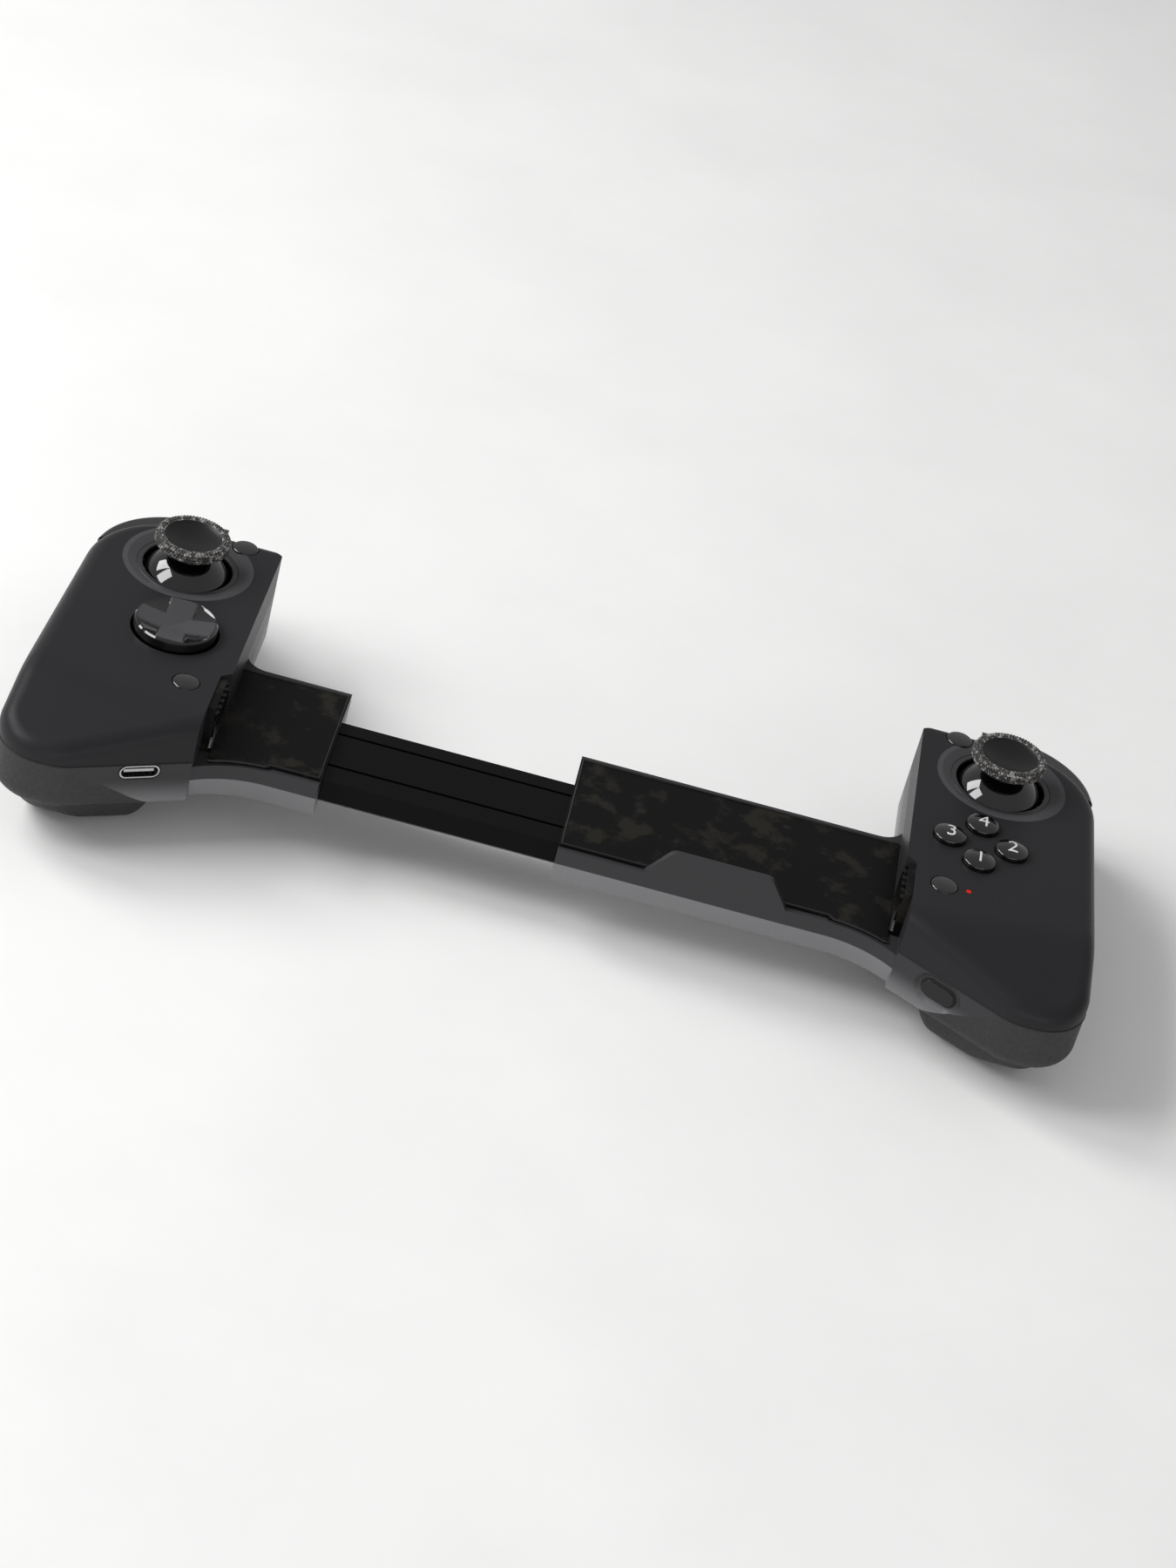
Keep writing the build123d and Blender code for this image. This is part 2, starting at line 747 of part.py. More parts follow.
def wing_section(x):
    """Outer section of the wing as a sketch at x."""
    with BuildSketch(section_plane(x)) as sketch:
        with BuildLine():
            Polyline(
                (wing_y - rim_half_width, rest_z - rim_drop),
                (wing_y - waist_half_width, rest_z - waist_depth),
                (wing_y - base_half_width, wing_base_z),
                (wing_y + base_half_width, wing_base_z),
                (wing_y + waist_half_width, rest_z - waist_depth),
                (wing_y + rim_half_width, rest_z - rim_drop),
                close=True,
            )
        make_face()
    return sketch.sketch


def rail_section(x, growth):
    """Section of the rail as a sketch at x, with every side moved out by growth."""
    with BuildSketch(section_plane(x)) as sketch:
        with BuildLine():
            Polyline(
                (rail_y - rail_top_half, rail_top_z),
                (rail_y - rail_waist_half, rail_waist_z),
                (rail_y - rail_base_half, rail_base_z),
                (rail_y + rail_base_half, rail_base_z),
                (rail_y + rail_waist_half, rail_waist_z),
                (rail_y + rail_top_half, rail_top_z),
                close=True,
            )
        make_face()
        if growth:
            offset(amount=growth, kind=Kind.INTERSECTION)
    return sketch.sketch


def wing(length, fit, with_lip):
    """Wing from its free end to the grip's inner wall, with the tunnel for the rail."""
    start_x = -length
    with BuildPart() as grip:
        extrude(outline(grip_corners(), 0), amount=face_z)
    with BuildPart() as tray:
        extrude(wing_section(start_x), amount=recess_x - start_x)
        wing_flares()
        block(
            (start_x - overrun, wing_y - pad_half_width, pad_seat_z),
            (recess_x + overrun, wing_y + pad_half_width, rest_z + overrun),
            mode=Mode.SUBTRACT,
        )
        if with_lip:
            retaining_lip()
        tunnel = recess_x + overrun - start_x + overrun
        extrude(rail_section(start_x - overrun, fit), amount=tunnel, mode=Mode.SUBTRACT)
        add(grip.part, mode=Mode.SUBTRACT)
    return tray


def wing_flares():
    """Curved gussets where the wing's two long edges run out to the grip, sloped like its sides."""
    front = wing_y - waist_half_width
    back = wing_y + waist_half_width
    run_out = front - recess_bottom_y
    radius = (flare_length ** 2 + run_out ** 2) / (2 * run_out)
    start_x = recess_x - flare_length
    far_x = recess_x + wing_depth
    height, depth = waist_depth - rim_drop, wing_depth - waist_depth
    with BuildSketch(plan(rest_z - waist_depth)) as flares:
        with BuildLine():
            RadiusArc((start_x, front), (recess_x, recess_bottom_y), radius)
            Polyline(
                (recess_x, recess_bottom_y), (far_x, recess_bottom_y), (far_x, back + flare_radius_back),
                (0, back + flare_radius_back),
            )
            RadiusArc((0, back + flare_radius_back), (-flare_radius_back, back), flare_radius_back)
            Polyline((-flare_radius_back, back), (start_x, back), (start_x, front))
        make_face()
    extrude(flares.sketch, amount=height, taper=degrees(atan2(waist_half_width - rim_half_width, height)))
    extrude(flares.sketch, amount=-depth, taper=degrees(atan2(waist_half_width - base_half_width, depth)))


def retaining_lip():
    """Upright lip on the long wing's front rim, which keeps the phone from sliding out."""
    outer_y = wing_y - pad_half_width - lip_thickness
    low = rest_z - waist_depth
    top = rest_z - rim_drop + lip_height
    with BuildSketch(side_plane(0, outer_y, 0)) as lip:
        with BuildLine():
            FilletPolyline(
                (lip_start, low), (lip_start, rest_z - rim_drop), (lip_top_start, top),
                (lip_top_end, top), (lip_end, rest_z - rim_drop), (lip_end, low),
                radius=[0, 0, lip_radius, lip_radius, 0, 0],
                close=True,
            )
        make_face()
    extrude(lip.sketch, amount=-lip_thickness)


def floor_pad(length):
    """Soft pad on a wing of the given length, up to the inner wall."""
    with BuildPart() as pad:
        block(
            (-length + seat_fit, wing_y - pad_half_width + seat_fit, pad_seat_z),
            (-end_pad_gap, wing_y + pad_half_width - seat_fit, rest_z),
        )
    return pad


def end_pad():
    """Ribbed pad in the recess of the inner wall, standing on the wing."""
    low_y = wing_y - pad_half_width + end_pad_gap
    high_y = recess_top_y - recess_slant - end_pad_gap
    low_z = pad_seat_z + seat_fit
    high_z = face_z - end_pad_clear
    pitch = (high_y - low_y) / end_pad_rib_count
    with BuildPart() as pad:
        block((end_pad_rib, low_y, low_z), (recess_x, high_y, high_z))
        for index in range(end_pad_rib_count):
            middle = low_y + pitch * (index + half_share)
            block(
                (0, middle - end_pad_rib_width / 2, low_z),
                (end_pad_rib, middle + end_pad_rib_width / 2, high_z),
            )
    return pad


def circuit_board():
    """Main board, clear of the walls and the trigger and notched around the screw bosses."""
    trigger_y = trigger_pivot_y - trigger_hub_radius - ear_gap - pin_fit * 2
    trigger_edge_x = upper_button[0] + dome_base_radius + membrane_thickness + slip_fit
    with BuildPart() as board:
        extrude(outline(moved_in(grip_corners(), board_margin), board_bottom_z), amount=board_thickness)
        block((0, -span, board_bottom_z), (board_inner_x, span, board_top_z), mode=Mode.SUBTRACT)
        block((trigger_edge_x, trigger_y, board_bottom_z), (span, span, board_top_z), mode=Mode.SUBTRACT)
        holes(screw_places, boss_radius + board_notch_gap, board_bottom_z - overrun, board_top_z + overrun)
    return board


def rubber_domes(places):
    """Tapered rubber domes on the membrane."""
    for x, y in places:
        with BuildSketch(side_plane(x, y, membrane_top_z)) as half:
            with BuildLine():
                Polyline(
                    (0, 0), (dome_base_radius, 0), (dome_tip_radius, dome_height), (0, dome_height),
                    close=True,
                )
            make_face()
        revolve(half.sketch, axis=Axis((x, y, 0), (0, 0, 1)))


def button_membrane(places):
    """Rubber sheet with a dome under each button, and a small sheet of its own under the upper button."""
    margin = dome_base_radius + membrane_thickness
    xs = [x for x, _ in places]
    ys = [y for _, y in places]
    x, y = upper_button
    low_x = max(min(xs) - margin, board_inner_x)
    with BuildPart() as sheet:
        block(
            (low_x, min(ys) - margin, board_top_z), (max(xs) + margin, max(ys) + margin, membrane_top_z),
        )
        block(
            (x - margin, y - margin, board_top_z),
            (x + margin, grip_top_y - wall - joint_gap, membrane_top_z),
        )
        rubber_domes(places + [upper_button])
    return sheet


def screws():
    """Four screws with cross recesses, heads in the back shell."""
    head_z = shell_bottom_z + screw_head_recess
    with BuildPart() as group:
        rods(screw_places, screw_head_radius, head_z - screw_head_height, head_z)
        rods(screw_places, screw_radius, head_z, seam_z + screw_reach)
        for turn in (0, 90):
            with BuildSketch(plan(head_z - screw_head_height)):
                with Locations(*screw_places):
                    Rectangle(drive_length, drive_width, rotation=turn)
            extrude(amount=drive_depth, mode=Mode.SUBTRACT)
    return group


def hinge_pins():
    """Steel pins of the shoulder button, the trigger and the paddle."""
    with BuildPart() as group:
        rods([bumper_pivot], bumper_pin_radius, seam_z + seat_fit, inside_z + wall / 2 - seat_fit)
        cross_rod(
            trigger_ears[1][0], trigger_ears[0][1], trigger_pivot_y, trigger_pivot_z, trigger_pin_radius,
        )
        cross_rod(
            paddle_ears[0][0], paddle_ears[1][1], paddle_pivot_y, paddle_pivot_z, paddle_pin_radius,
        )
    return group


def bumper():
    """Shoulder button: follows the shoulder and turns about a pin at its inner end."""
    shifted = [(x - bumper_side_shift, y + bumper_reach, r) for x, y, r in grip_corners()]
    x, y = bumper_pivot
    height = bumper_top_z - joint_gap / 2 - bumper_bottom_z
    with BuildPart() as button:
        extrude(outline(shifted, bumper_bottom_z), amount=height)
        inner = outline(moved_in(grip_corners(), bumper_inset), bumper_bottom_z)
        extrude(inner, amount=height, mode=Mode.SUBTRACT)
        with BuildSketch(plan(bumper_bottom_z)):
            with BuildLine():
                Polyline(
                    (bumper_start_x, bumper_end_y), (handle_x + overrun, bumper_end_y),
                    (handle_x + overrun, grip_top_y + overrun + bumper_reach),
                    (bumper_start_x, grip_top_y + overrun + bumper_reach),
                    close=True,
                )
            make_face()
        extrude(amount=height, mode=Mode.INTERSECT)
        rods([bumper_pivot], bumper_pin_radius + wall / 2, bumper_bottom_z, bumper_bottom_z + height)
        front = button.faces().filter_by(lambda f: abs(f.normal_at().Z) < level_share)
        front = front.filter_by(
            lambda f: f.center().Y > grip_top_y - wall or f.center().X > shoulder_x - wall
        )
        rim = ShapeList()
        for side in front:
            hub_distance = side.distance_to((x, y, bumper_bottom_z + height / 2))
            if side.normal_at().Y > level_share and hub_distance > wall:
                rim += side.edges().filter_by(lambda e: e.bounding_box().size.Z < slip_fit)
        fillet(rim, radius=bumper_edge)
        holes([bumper_pivot], bumper_pin_radius + pin_fit, bumper_bottom_z - overrun, bumper_top_z + overrun)
    return button


def trigger():
    """Trigger: curved finger plate with two cheeks outside the shoulder wall, and an arm to its hinge pin."""
    root_y = grip_top_y + trigger_gap
    crown_y = root_y + trigger_crown
    tip_y = grip_top_y + trigger_reach
    mid_z = (trigger_top_z + trigger_tip_z) / 2
    back_y = tip_y - trigger_plate
    tip_step = trigger_plate * trigger_tip_share
    foot_z = trigger_tip_z + tip_step
    arm_top_z = trigger_pivot_z + trigger_hub_radius
    arm_low_z = arm_top_z - trigger_plate
    inner_y = root_y + (arm_low_z - foot_z) * tan(radians(trigger_swing))
    with BuildPart() as lever:
        with BuildSketch(section_plane(trigger_left_x)):
            with BuildLine():
                Polyline((root_y, arm_low_z), (root_y, trigger_top_z), (crown_y, trigger_top_z))
                TangentArc((tip_y, foot_z), (crown_y, trigger_top_z), tangent=(0, 1))
                Polyline(
                    (tip_y, foot_z), (tip_y - tip_step, trigger_tip_z), (inner_y + tip_step, trigger_tip_z),
                    (inner_y, foot_z), (root_y, arm_low_z),
                )
            make_face()
        extrude(amount=trigger_right_x - trigger_left_x)
        front = lever.faces().filter_by(lambda f: abs(f.normal_at().X) < level_share)
        front = front.filter_by(lambda f: f.normal_at().Y + f.normal_at().Z > half_share)
        rim = ShapeList()
        for face in front:
            rim += face.edges().filter_by(lambda e: e.bounding_box().size.X < slip_fit)
        fillet(rim, radius=bumper_edge)
        with BuildSketch(section_plane(trigger_left_x + trigger_cheek)):
            with BuildLine():
                ThreePointArc((back_y, foot_z), (back_y - trigger_plate / 2, mid_z), (root_y, arm_low_z))
                Polyline(
                    (root_y, arm_low_z), (root_y - overrun, arm_low_z),
                    (root_y - overrun, trigger_tip_z - overrun), (back_y, trigger_tip_z - overrun),
                    (back_y, foot_z),
                )
            make_face()
        extrude(amount=trigger_right_x - trigger_left_x - 2 * trigger_cheek, mode=Mode.SUBTRACT)
        with BuildSketch(section_plane(trigger_arm_left)):
            with BuildLine():
                Polyline(
                    (trigger_pivot_y, arm_top_z), (root_y + wall / 2, arm_top_z),
                    (root_y + wall / 2, arm_low_z), (trigger_pivot_y, trigger_pivot_z - trigger_hub_radius),
                    close=True,
                )
            make_face()
            with Locations((trigger_pivot_y, trigger_pivot_z)):
                Circle(trigger_hub_radius)
        extrude(amount=trigger_arm_right - trigger_arm_left)
        cross_rod(
            trigger_arm_left - overrun, trigger_arm_right + overrun, trigger_pivot_y, trigger_pivot_z,
            trigger_pin_radius + pin_fit, mode=Mode.SUBTRACT,
        )
    return lever


def trigger_spring():
    """Torsion spring around the trigger's pin, beside the hub."""
    length = trigger_spring_turns * trigger_spring_wire * trigger_spring_pitch_share
    middle = (trigger_ears[1][1] + trigger_arm_left) / 2
    with BuildPart() as spring:
        with BuildLine() as path:
            Helix(
                pitch=length / trigger_spring_turns, height=length, radius=trigger_spring_radius,
                center=(middle - length / 2, trigger_pivot_y, trigger_pivot_z), direction=(1, 0, 0),
            )
        start = path.edges()[0]
        with BuildSketch(Plane(origin=start @ 0, z_dir=start % 0)):
            Circle(trigger_spring_wire)
        sweep(path=path.edges()[0], is_frenet=True)
    return spring


def paddle():
    """Rear paddle: a lever under the grip, hinged at its upper end."""
    low_z = shell_bottom_z - paddle_proud
    top_z = shell_bottom_z + slip_fit
    edge = paddle_proud / 2
    root_y = paddle_pivot_y - paddle_hub_radius
    with BuildPart() as lever:
        with BuildSketch(section_plane(paddle_left_x)):
            with BuildLine():
                FilletPolyline(
                    (root_y, paddle_pivot_z), (root_y, top_z), (paddle_bottom_y, top_z),
                    (paddle_bottom_y, low_z + edge), (paddle_bottom_y + paddle_proud * 2, low_z),
                    (paddle_pivot_y - paddle_proud, low_z + slip_fit),
                    (paddle_top_y, shell_bottom_z - slip_fit), (paddle_top_y, paddle_pivot_z),
                    radius=[0, 0, 0, edge / 2, edge * 2, edge * 2, 0, 0],
                    close=True,
                )
            make_face()
            with Locations((paddle_pivot_y, paddle_pivot_z)):
                Circle(paddle_hub_radius)
        extrude(amount=paddle_right_x - paddle_left_x)
        cross_rod(
            paddle_left_x - overrun, paddle_right_x + overrun, paddle_pivot_y, paddle_pivot_z,
            paddle_pin_radius + pin_fit, mode=Mode.SUBTRACT,
        )
    return lever


def crown(radius, height, share):
    """How far a spherical crown has dropped from its top, at a share of its radius."""
    ball = (radius ** 2 + height ** 2) / (2 * height)
    return ball - (ball ** 2 - (radius * share) ** 2) ** 0.5


def turned(x, y, z, points):
    """Solid of revolution about an upright axis at x and y, from points of radius and height above z."""
    with BuildPart() as solid:
        with BuildSketch(side_plane(x, y, z)):
            with BuildLine():
                Polyline(*points, close=True)
            make_face()
        revolve(axis=Axis((x, y, 0), (0, 0, 1)))
    return solid


def stick_ring():
    """Smooth ring around the stick's hole."""
    chamfer_size = ring_height / 3
    return turned(stick_x, stick_y, ring_seat_z, [
        (ring_inner, 0), (ring_outer, 0), (ring_outer, ring_height - chamfer_size),
        (ring_outer - chamfer_size, ring_height), (ring_inner + chamfer_size, ring_height),
        (ring_inner, ring_height - chamfer_size),
    ])


def stick_housing():
    """Box on the board that carries the yoke's pins, open at its top for the shaft."""
    base_z = board_top_z
    top_z = stick_pivot_z + housing_top
    with BuildPart() as box:
        with BuildSketch(plan(base_z)):
            with Locations((stick_x, stick_y)):
                Rectangle(housing_side, housing_side)
        extrude(amount=top_z - base_z)
        chamfer(box.edges().filter_by(Axis.Z), length=housing_chamfer)
        with BuildSketch(plan(base_z + housing_lid)):
            with Locations((stick_x, stick_y)):
                Rectangle(housing_side - 2 * housing_wall, housing_side - 2 * housing_wall)
            chamfer(vertices(), length=housing_chamfer - housing_wall / 2)
        extrude(amount=top_z - housing_lid - base_z - housing_lid, mode=Mode.SUBTRACT)
        holes([(stick_x, stick_y)], housing_mouth, top_z - housing_lid - slip_fit, top_z + overrun)
        cross_rod(
            stick_x - housing_side, stick_x + housing_side, stick_y, stick_pivot_z,
            yoke_pin_radius + pin_fit, mode=Mode.SUBTRACT,
        )
    return box


def stick_yoke():
    """Frame that turns in the housing about X and carries the rocker."""
    low_z = stick_pivot_z - yoke_height / 2
    reach = housing_side / 2 - slip_fit
    with BuildPart() as frame:
        with BuildSketch(plan(low_z)):
            with Locations((stick_x, stick_y)):
                Rectangle(yoke_length, yoke_width)
                Rectangle(yoke_inner_length, yoke_inner_width, mode=Mode.SUBTRACT)
        extrude(amount=yoke_height)
        for side in (-1, 1):
            cross_rod(
                stick_x + side * (yoke_length / 2 - housing_lid), stick_x + side * reach,
                stick_y, stick_pivot_z, yoke_pin_radius,
            )
        with BuildSketch(side_plane(stick_x, stick_y, stick_pivot_z)):
            Circle(rocker_pin_radius + pin_fit)
        extrude(amount=yoke_width, both=True, mode=Mode.SUBTRACT)
    return frame


def stick_rocker():
    """Block that turns in the yoke about Y, with the bore for the shaft."""
    low_z = stick_pivot_z - rocker_height / 2
    with BuildPart() as rocker:
        with BuildSketch(plan(low_z)):
            with Locations((stick_x, stick_y)):
                Rectangle(rocker_length, rocker_width)
        extrude(amount=rocker_height)
        with BuildSketch(side_plane(stick_x, stick_y, stick_pivot_z)):
            Circle(rocker_pin_radius)
        extrude(amount=yoke_width / 2 - slip_fit, both=True)
        holes([(stick_x, stick_y)], shaft_radius + pin_fit, low_z - overrun, low_z + rocker_height + overrun)
    return rocker


def stick_shaft():
    """Shaft of the stick."""
    with BuildPart() as shaft:
        rods([(stick_x, stick_y)], shaft_radius, stick_pivot_z + shaft_bottom, stick_pivot_z + shaft_top)
        chamfer(shaft.edges().group_by(Axis.Z)[-1], length=shaft_radius / 6)
    return shaft


def stick_dome():
    """Glossy dome that closes the stick's hole at every tilt, with its hub on the shaft."""
    skirt = radians(dome_skirt_angle)
    inside = dome_radius - dome_wall
    bore = shaft_radius + seat_fit
    hub_low = (inside ** 2 - neck_radius ** 2) ** 0.5
    neck_z = (dome_radius ** 2 - neck_radius ** 2) ** 0.5
    mid = skirt * dome_middle_share
    with BuildPart() as dome:
        with BuildSketch(side_plane(stick_x, stick_y, stick_pivot_z)):
            with BuildLine():
                Line((bore, neck_top), (neck_radius, neck_top))
                Line((neck_radius, neck_top), (neck_radius, neck_z))
                outer = ThreePointArc(
                    (neck_radius, neck_z), (dome_radius * sin(mid), dome_radius * cos(mid)),
                    (dome_radius * sin(skirt), dome_radius * cos(skirt)),
                )
                inner = ThreePointArc(
                    (inside * sin(skirt), inside * cos(skirt)), (inside * sin(mid), inside * cos(mid)),
                    (neck_radius, hub_low),
                )
                Line(outer @ 1, inner @ 0)
                Polyline(inner @ 1, (bore, hub_low), (bore, neck_top))
            make_face()
        revolve(axis=Axis((stick_x, stick_y, 0), (0, 0, 1)))
    return dome


def stick_cap():
    """Thumb cap with a dished top and a textured rim."""
    bore = shaft_radius + seat_fit
    neck = neck_radius - seat_fit
    socket_top = shaft_top + seat_fit
    rim = cap_dish_radius + (cap_radius - cap_dish_radius) / 3
    dish_edge = cap_top - cap_edge / 3
    with BuildPart() as cap:
        with BuildSketch(side_plane(stick_x, stick_y, stick_pivot_z)):
            with BuildLine():
                Polyline(
                    (0, socket_top), (bore, socket_top), (bore, neck_top), (neck, neck_top),
                    (cap_radius - cap_edge, cap_brim - cap_edge), (cap_radius, cap_brim),
                    (cap_radius, cap_top - cap_edge), (cap_radius - cap_edge, cap_top),
                    (rim, cap_top), (cap_dish_radius, dish_edge),
                )
                bottom = dish_edge - cap_dish_depth
                mid_z = bottom + crown(cap_dish_radius, cap_dish_depth, half_share)
                ThreePointArc((cap_dish_radius, dish_edge), (cap_dish_radius / 2, mid_z), (0, bottom))
                Line((0, bottom), (0, socket_top))
            make_face()
        revolve(axis=Axis((stick_x, stick_y, 0), (0, 0, 1)))
    return cap


def button_body(place, radius, top, crown_height, lower_points):
    """Round button: a domed head down to the face's inner side, then the given lower points."""
    x, y = place
    edge = top - crown_height
    mid_z = top - crown(radius, crown_height, half_share)
    with BuildPart() as button:
        with BuildSketch(side_plane(x, y, 0)):
            with BuildLine():
                Polyline((0, top), (0, button_foot_z), *lower_points, (radius, edge))
                ThreePointArc((radius, edge), (radius / 2, mid_z), (0, top))
            make_face()
        revolve(axis=Axis((x, y, 0), (0, 0, 1)))
    return button


def action_button(place):
    """Action button with a flange under the face."""
    low, rim = flange_top_z - flange_thickness, action_radius + action_flange
    return button_body(place, action_radius, face_z + action_proud, action_crown, [
        (action_radius, button_foot_z), (action_radius, low), (rim, low), (rim, flange_top_z),
        (action_radius, flange_top_z),
    ])


def small_button(place):
    """Small round button with a stem narrower than its head."""
    low = flange_top_z - flange_thickness
    return button_body(place, small_radius, face_z + small_proud, small_crown, [
        (small_stem, button_foot_z), (small_stem, low), (small_radius, low),
    ])


def status_lights():
    """Light pipes of the four status lights on one bar."""
    with BuildPart() as pipes:
        block(
            (light_x - light_bar_width / 2, light_y - light_bar_width / 2, inside_z - light_bar_height),
            (
                light_x + light_pitch * (light_count - 1) + light_bar_width / 2,
                light_y + light_bar_width / 2,
                inside_z,
            ),
        )
        rods(light_places(), light_radius, inside_z, face_z)
    return pipes


def power_button():
    """Oval button in its recess in the slanted front wall, with a flange behind the wall."""
    mouth = edge_plane(edge_fitting_x, power_z).offset(-slip_fit)
    with BuildPart() as button:
        with BuildSketch(mouth):
            SlotOverall(power_length, power_width)
        extrude(amount=-power_depth)
        with BuildSketch(edge_plane(edge_fitting_x, power_z).offset(-wall - flange_gap)):
            SlotOverall(power_length + 2 * power_flange, power_width + 2 * power_flange)
        extrude(amount=-flange_thickness)
        front = button.faces().sort_by(Axis((0, 0, 0), mouth.z_dir))[-1]
        fillet(front.edges(), radius=power_flange / 3)
    return button


def charging_socket():
    """Oval metal shell with a tongue inside."""
    mouth = edge_plane(edge_fitting_x, socket_z())
    with BuildPart() as socket:
        with BuildSketch(mouth):
            SlotOverall(socket_length, socket_height)
        extrude(amount=-socket_depth)
        with BuildSketch(mouth):
            SlotOverall(socket_length - 2 * socket_wall, socket_height - 2 * socket_wall)
        extrude(amount=-socket_depth + socket_wall * 2, mode=Mode.SUBTRACT)
        with BuildSketch(mouth.offset(-socket_wall * 2)):
            Rectangle(tongue_width, tongue_thickness)
        extrude(amount=-socket_depth + socket_wall * 3)
    return socket


def pad_disc():
    """Round direction pad with a raised cross in a shallow dish, and lugs for its pins."""
    top = face_z + disc_proud
    rim = disc_radius - disc_dish
    lug_y = carrier_inner - joint_gap - lug_width
    with BuildPart() as disc:
        with BuildSketch(side_plane(pad_x, pad_y, 0)):
            with BuildLine():
                Polyline(
                    (0, top - disc_dish), (0, disc_bottom_z), (disc_radius, disc_bottom_z),
                    (disc_radius, top - disc_dish / 2), (disc_radius - disc_dish / 2, top), (rim, top),
                )
                middle_z = top - disc_dish + crown(rim, disc_dish, half_share)
                ThreePointArc((rim, top), (rim / 2, middle_z), (0, top - disc_dish))
            make_face()
        revolve(axis=Axis((pad_x, pad_y, 0), (0, 0, 1)))
        with BuildSketch(plan(top - disc_dish - cross_rise)):
            with Locations((pad_x, pad_y)):
                Rectangle(cross_width, 2 * (disc_radius - disc_dish))
                Rectangle(2 * (disc_radius - disc_dish), cross_width)
        extrude(amount=disc_dish)
        for side in (-1, 1):
            near, far = sorted((pad_y + side * lug_y, pad_y + side * (lug_y + lug_width)))
            block(
                (pad_x - lug_length / 2, near, carrier_z - lug_length / 2),
                (pad_x + lug_length / 2, far, disc_bottom_z),
            )
        with BuildSketch(side_plane(pad_x, pad_y + lug_y, carrier_z)):
            Circle(lug_pin_radius)
        extrude(amount=-(carrier_outer - slip_fit - lug_y))
        with BuildSketch(side_plane(pad_x, pad_y - lug_y, carrier_z)):
            Circle(lug_pin_radius)
        extrude(amount=carrier_outer - slip_fit - lug_y)
    return disc


def pad_carrier():
    """Ring that turns about X on two pins and carries the direction pad's pins along Y."""
    low_z = carrier_z - carrier_height / 2
    with BuildPart() as ring:
        with BuildSketch(plan(low_z)):
            with Locations((pad_x, pad_y)):
                Circle(carrier_outer)
                Circle(carrier_inner, mode=Mode.SUBTRACT)
        extrude(amount=carrier_height)
        reach = disc_radius + disc_gap + carrier_boss_gap + carrier_boss_width
        for side in (-1, 1):
            cross_rod(
                pad_x + side * (carrier_outer - slip_fit * 3), pad_x + side * reach, pad_y, carrier_z,
                carrier_pin_radius,
            )
        with BuildSketch(side_plane(pad_x, pad_y, carrier_z)):
            Circle(lug_pin_radius + pin_fit)
        extrude(amount=carrier_outer * 2, both=True, mode=Mode.SUBTRACT)
    return ring


def battery():
    """Pouch battery in the left handle."""
    length, depth, height = battery_size
    with BuildPart() as cell:
        with BuildSketch(plan(battery_z)):
            with Locations((battery_x, battery_y)):
                RectangleRounded(length, depth, battery_radius)
        extrude(amount=height)
    return cell


def bridge_rail():
    """Flat tube fixed in the left grip, with two grooves along its top and posts for the springs."""
    fixed_x = inner_half + rail_seat
    spring_x = fixed_x - rail_spring_inset
    length = fixed_x + rail_free_x
    with BuildPart() as rail:
        extrude(rail_section(-fixed_x, 0), amount=length)
        inside = rail_section(-fixed_x - overrun, -rail_wall)
        extrude(inside, amount=length + 2 * overrun, mode=Mode.SUBTRACT)
        for offset_y in groove_offsets:
            block(
                (-fixed_x - overrun, rail_y + offset_y - groove_width / 2, rail_top_z - groove_depth),
                (rail_free_x + overrun, rail_y + offset_y + groove_width / 2, rail_top_z + overrun),
                mode=Mode.SUBTRACT,
            )
        rods(
            [(-spring_x - rail_post_radius, y) for y in spring_y], rail_post_radius,
            rail_base_z + rail_wall / 2, rail_top_z - rail_wall / 2,
        )
    return rail


def rail_springs():
    """Two long pull springs that draw the halves together."""
    start = rail_spring_inset - inner_half - rail_seat + rail_gap
    end = inner_half + spring_post_x - rail_post_radius - rail_gap
    with BuildPart() as springs:
        for y in spring_y:
            with BuildLine(mode=Mode.PRIVATE) as path:
                Helix(
                    pitch=(end - start) / rail_spring_turns, height=end - start, radius=rail_spring_radius,
                    center=(start, y, spring_z), direction=(1, 0, 0),
                )
            coil = path.edges()[0]
            with BuildSketch(Plane(origin=coil @ 0, z_dir=coil % 0)):
                Circle(rail_spring_wire)
            sweep(path=coil, is_frenet=True)
    return springs


def flat_cable():
    """Flat flexible cable along the rail's floor, bent up to the board at each end."""
    with BuildPart() as cable:
        low_z = rail_base_z + rail_wall + seat_fit
        low_y, high_y = rail_y - cable_width / 2, rail_y + cable_width / 2
        near = inner_half + board_inner_x
        end = near + cable_thickness
        block((-end, low_y, low_z), (end, high_y, low_z + cable_thickness))
        for left, right in ((-end, -near), (near, end)):
            block((left, low_y, low_z), (right, high_y, board_bottom_z))
    return cable


os.makedirs("parts", exist_ok=True)

# Pieces that are the same on both grips, mirrored
for name, piece in (
    ("handle_cover", handle_cover()),
    ("end_pad", end_pad()),
    ("circuit_board", circuit_board()),
    ("screws", screws()),
    ("hinge_pins", hinge_pins()),
    ("bumper", bumper()),
    ("trigger", trigger()),
    ("trigger_spring", trigger_spring()),
    ("paddle", paddle()),
    ("stick_ring", stick_ring()),
    ("stick_housing", stick_housing()),
    ("stick_yoke", stick_yoke()),
    ("stick_rocker", stick_rocker()),
    ("stick_shaft", stick_shaft()),
    ("stick_dome", stick_dome()),
    ("stick_cap", stick_cap()),
    ("upper_button", small_button(upper_button)),
    ("lower_button", small_button(lower_button)),
):
    keep_right(piece, f"right_{name}")
    keep_left(piece, f"left_{name}")

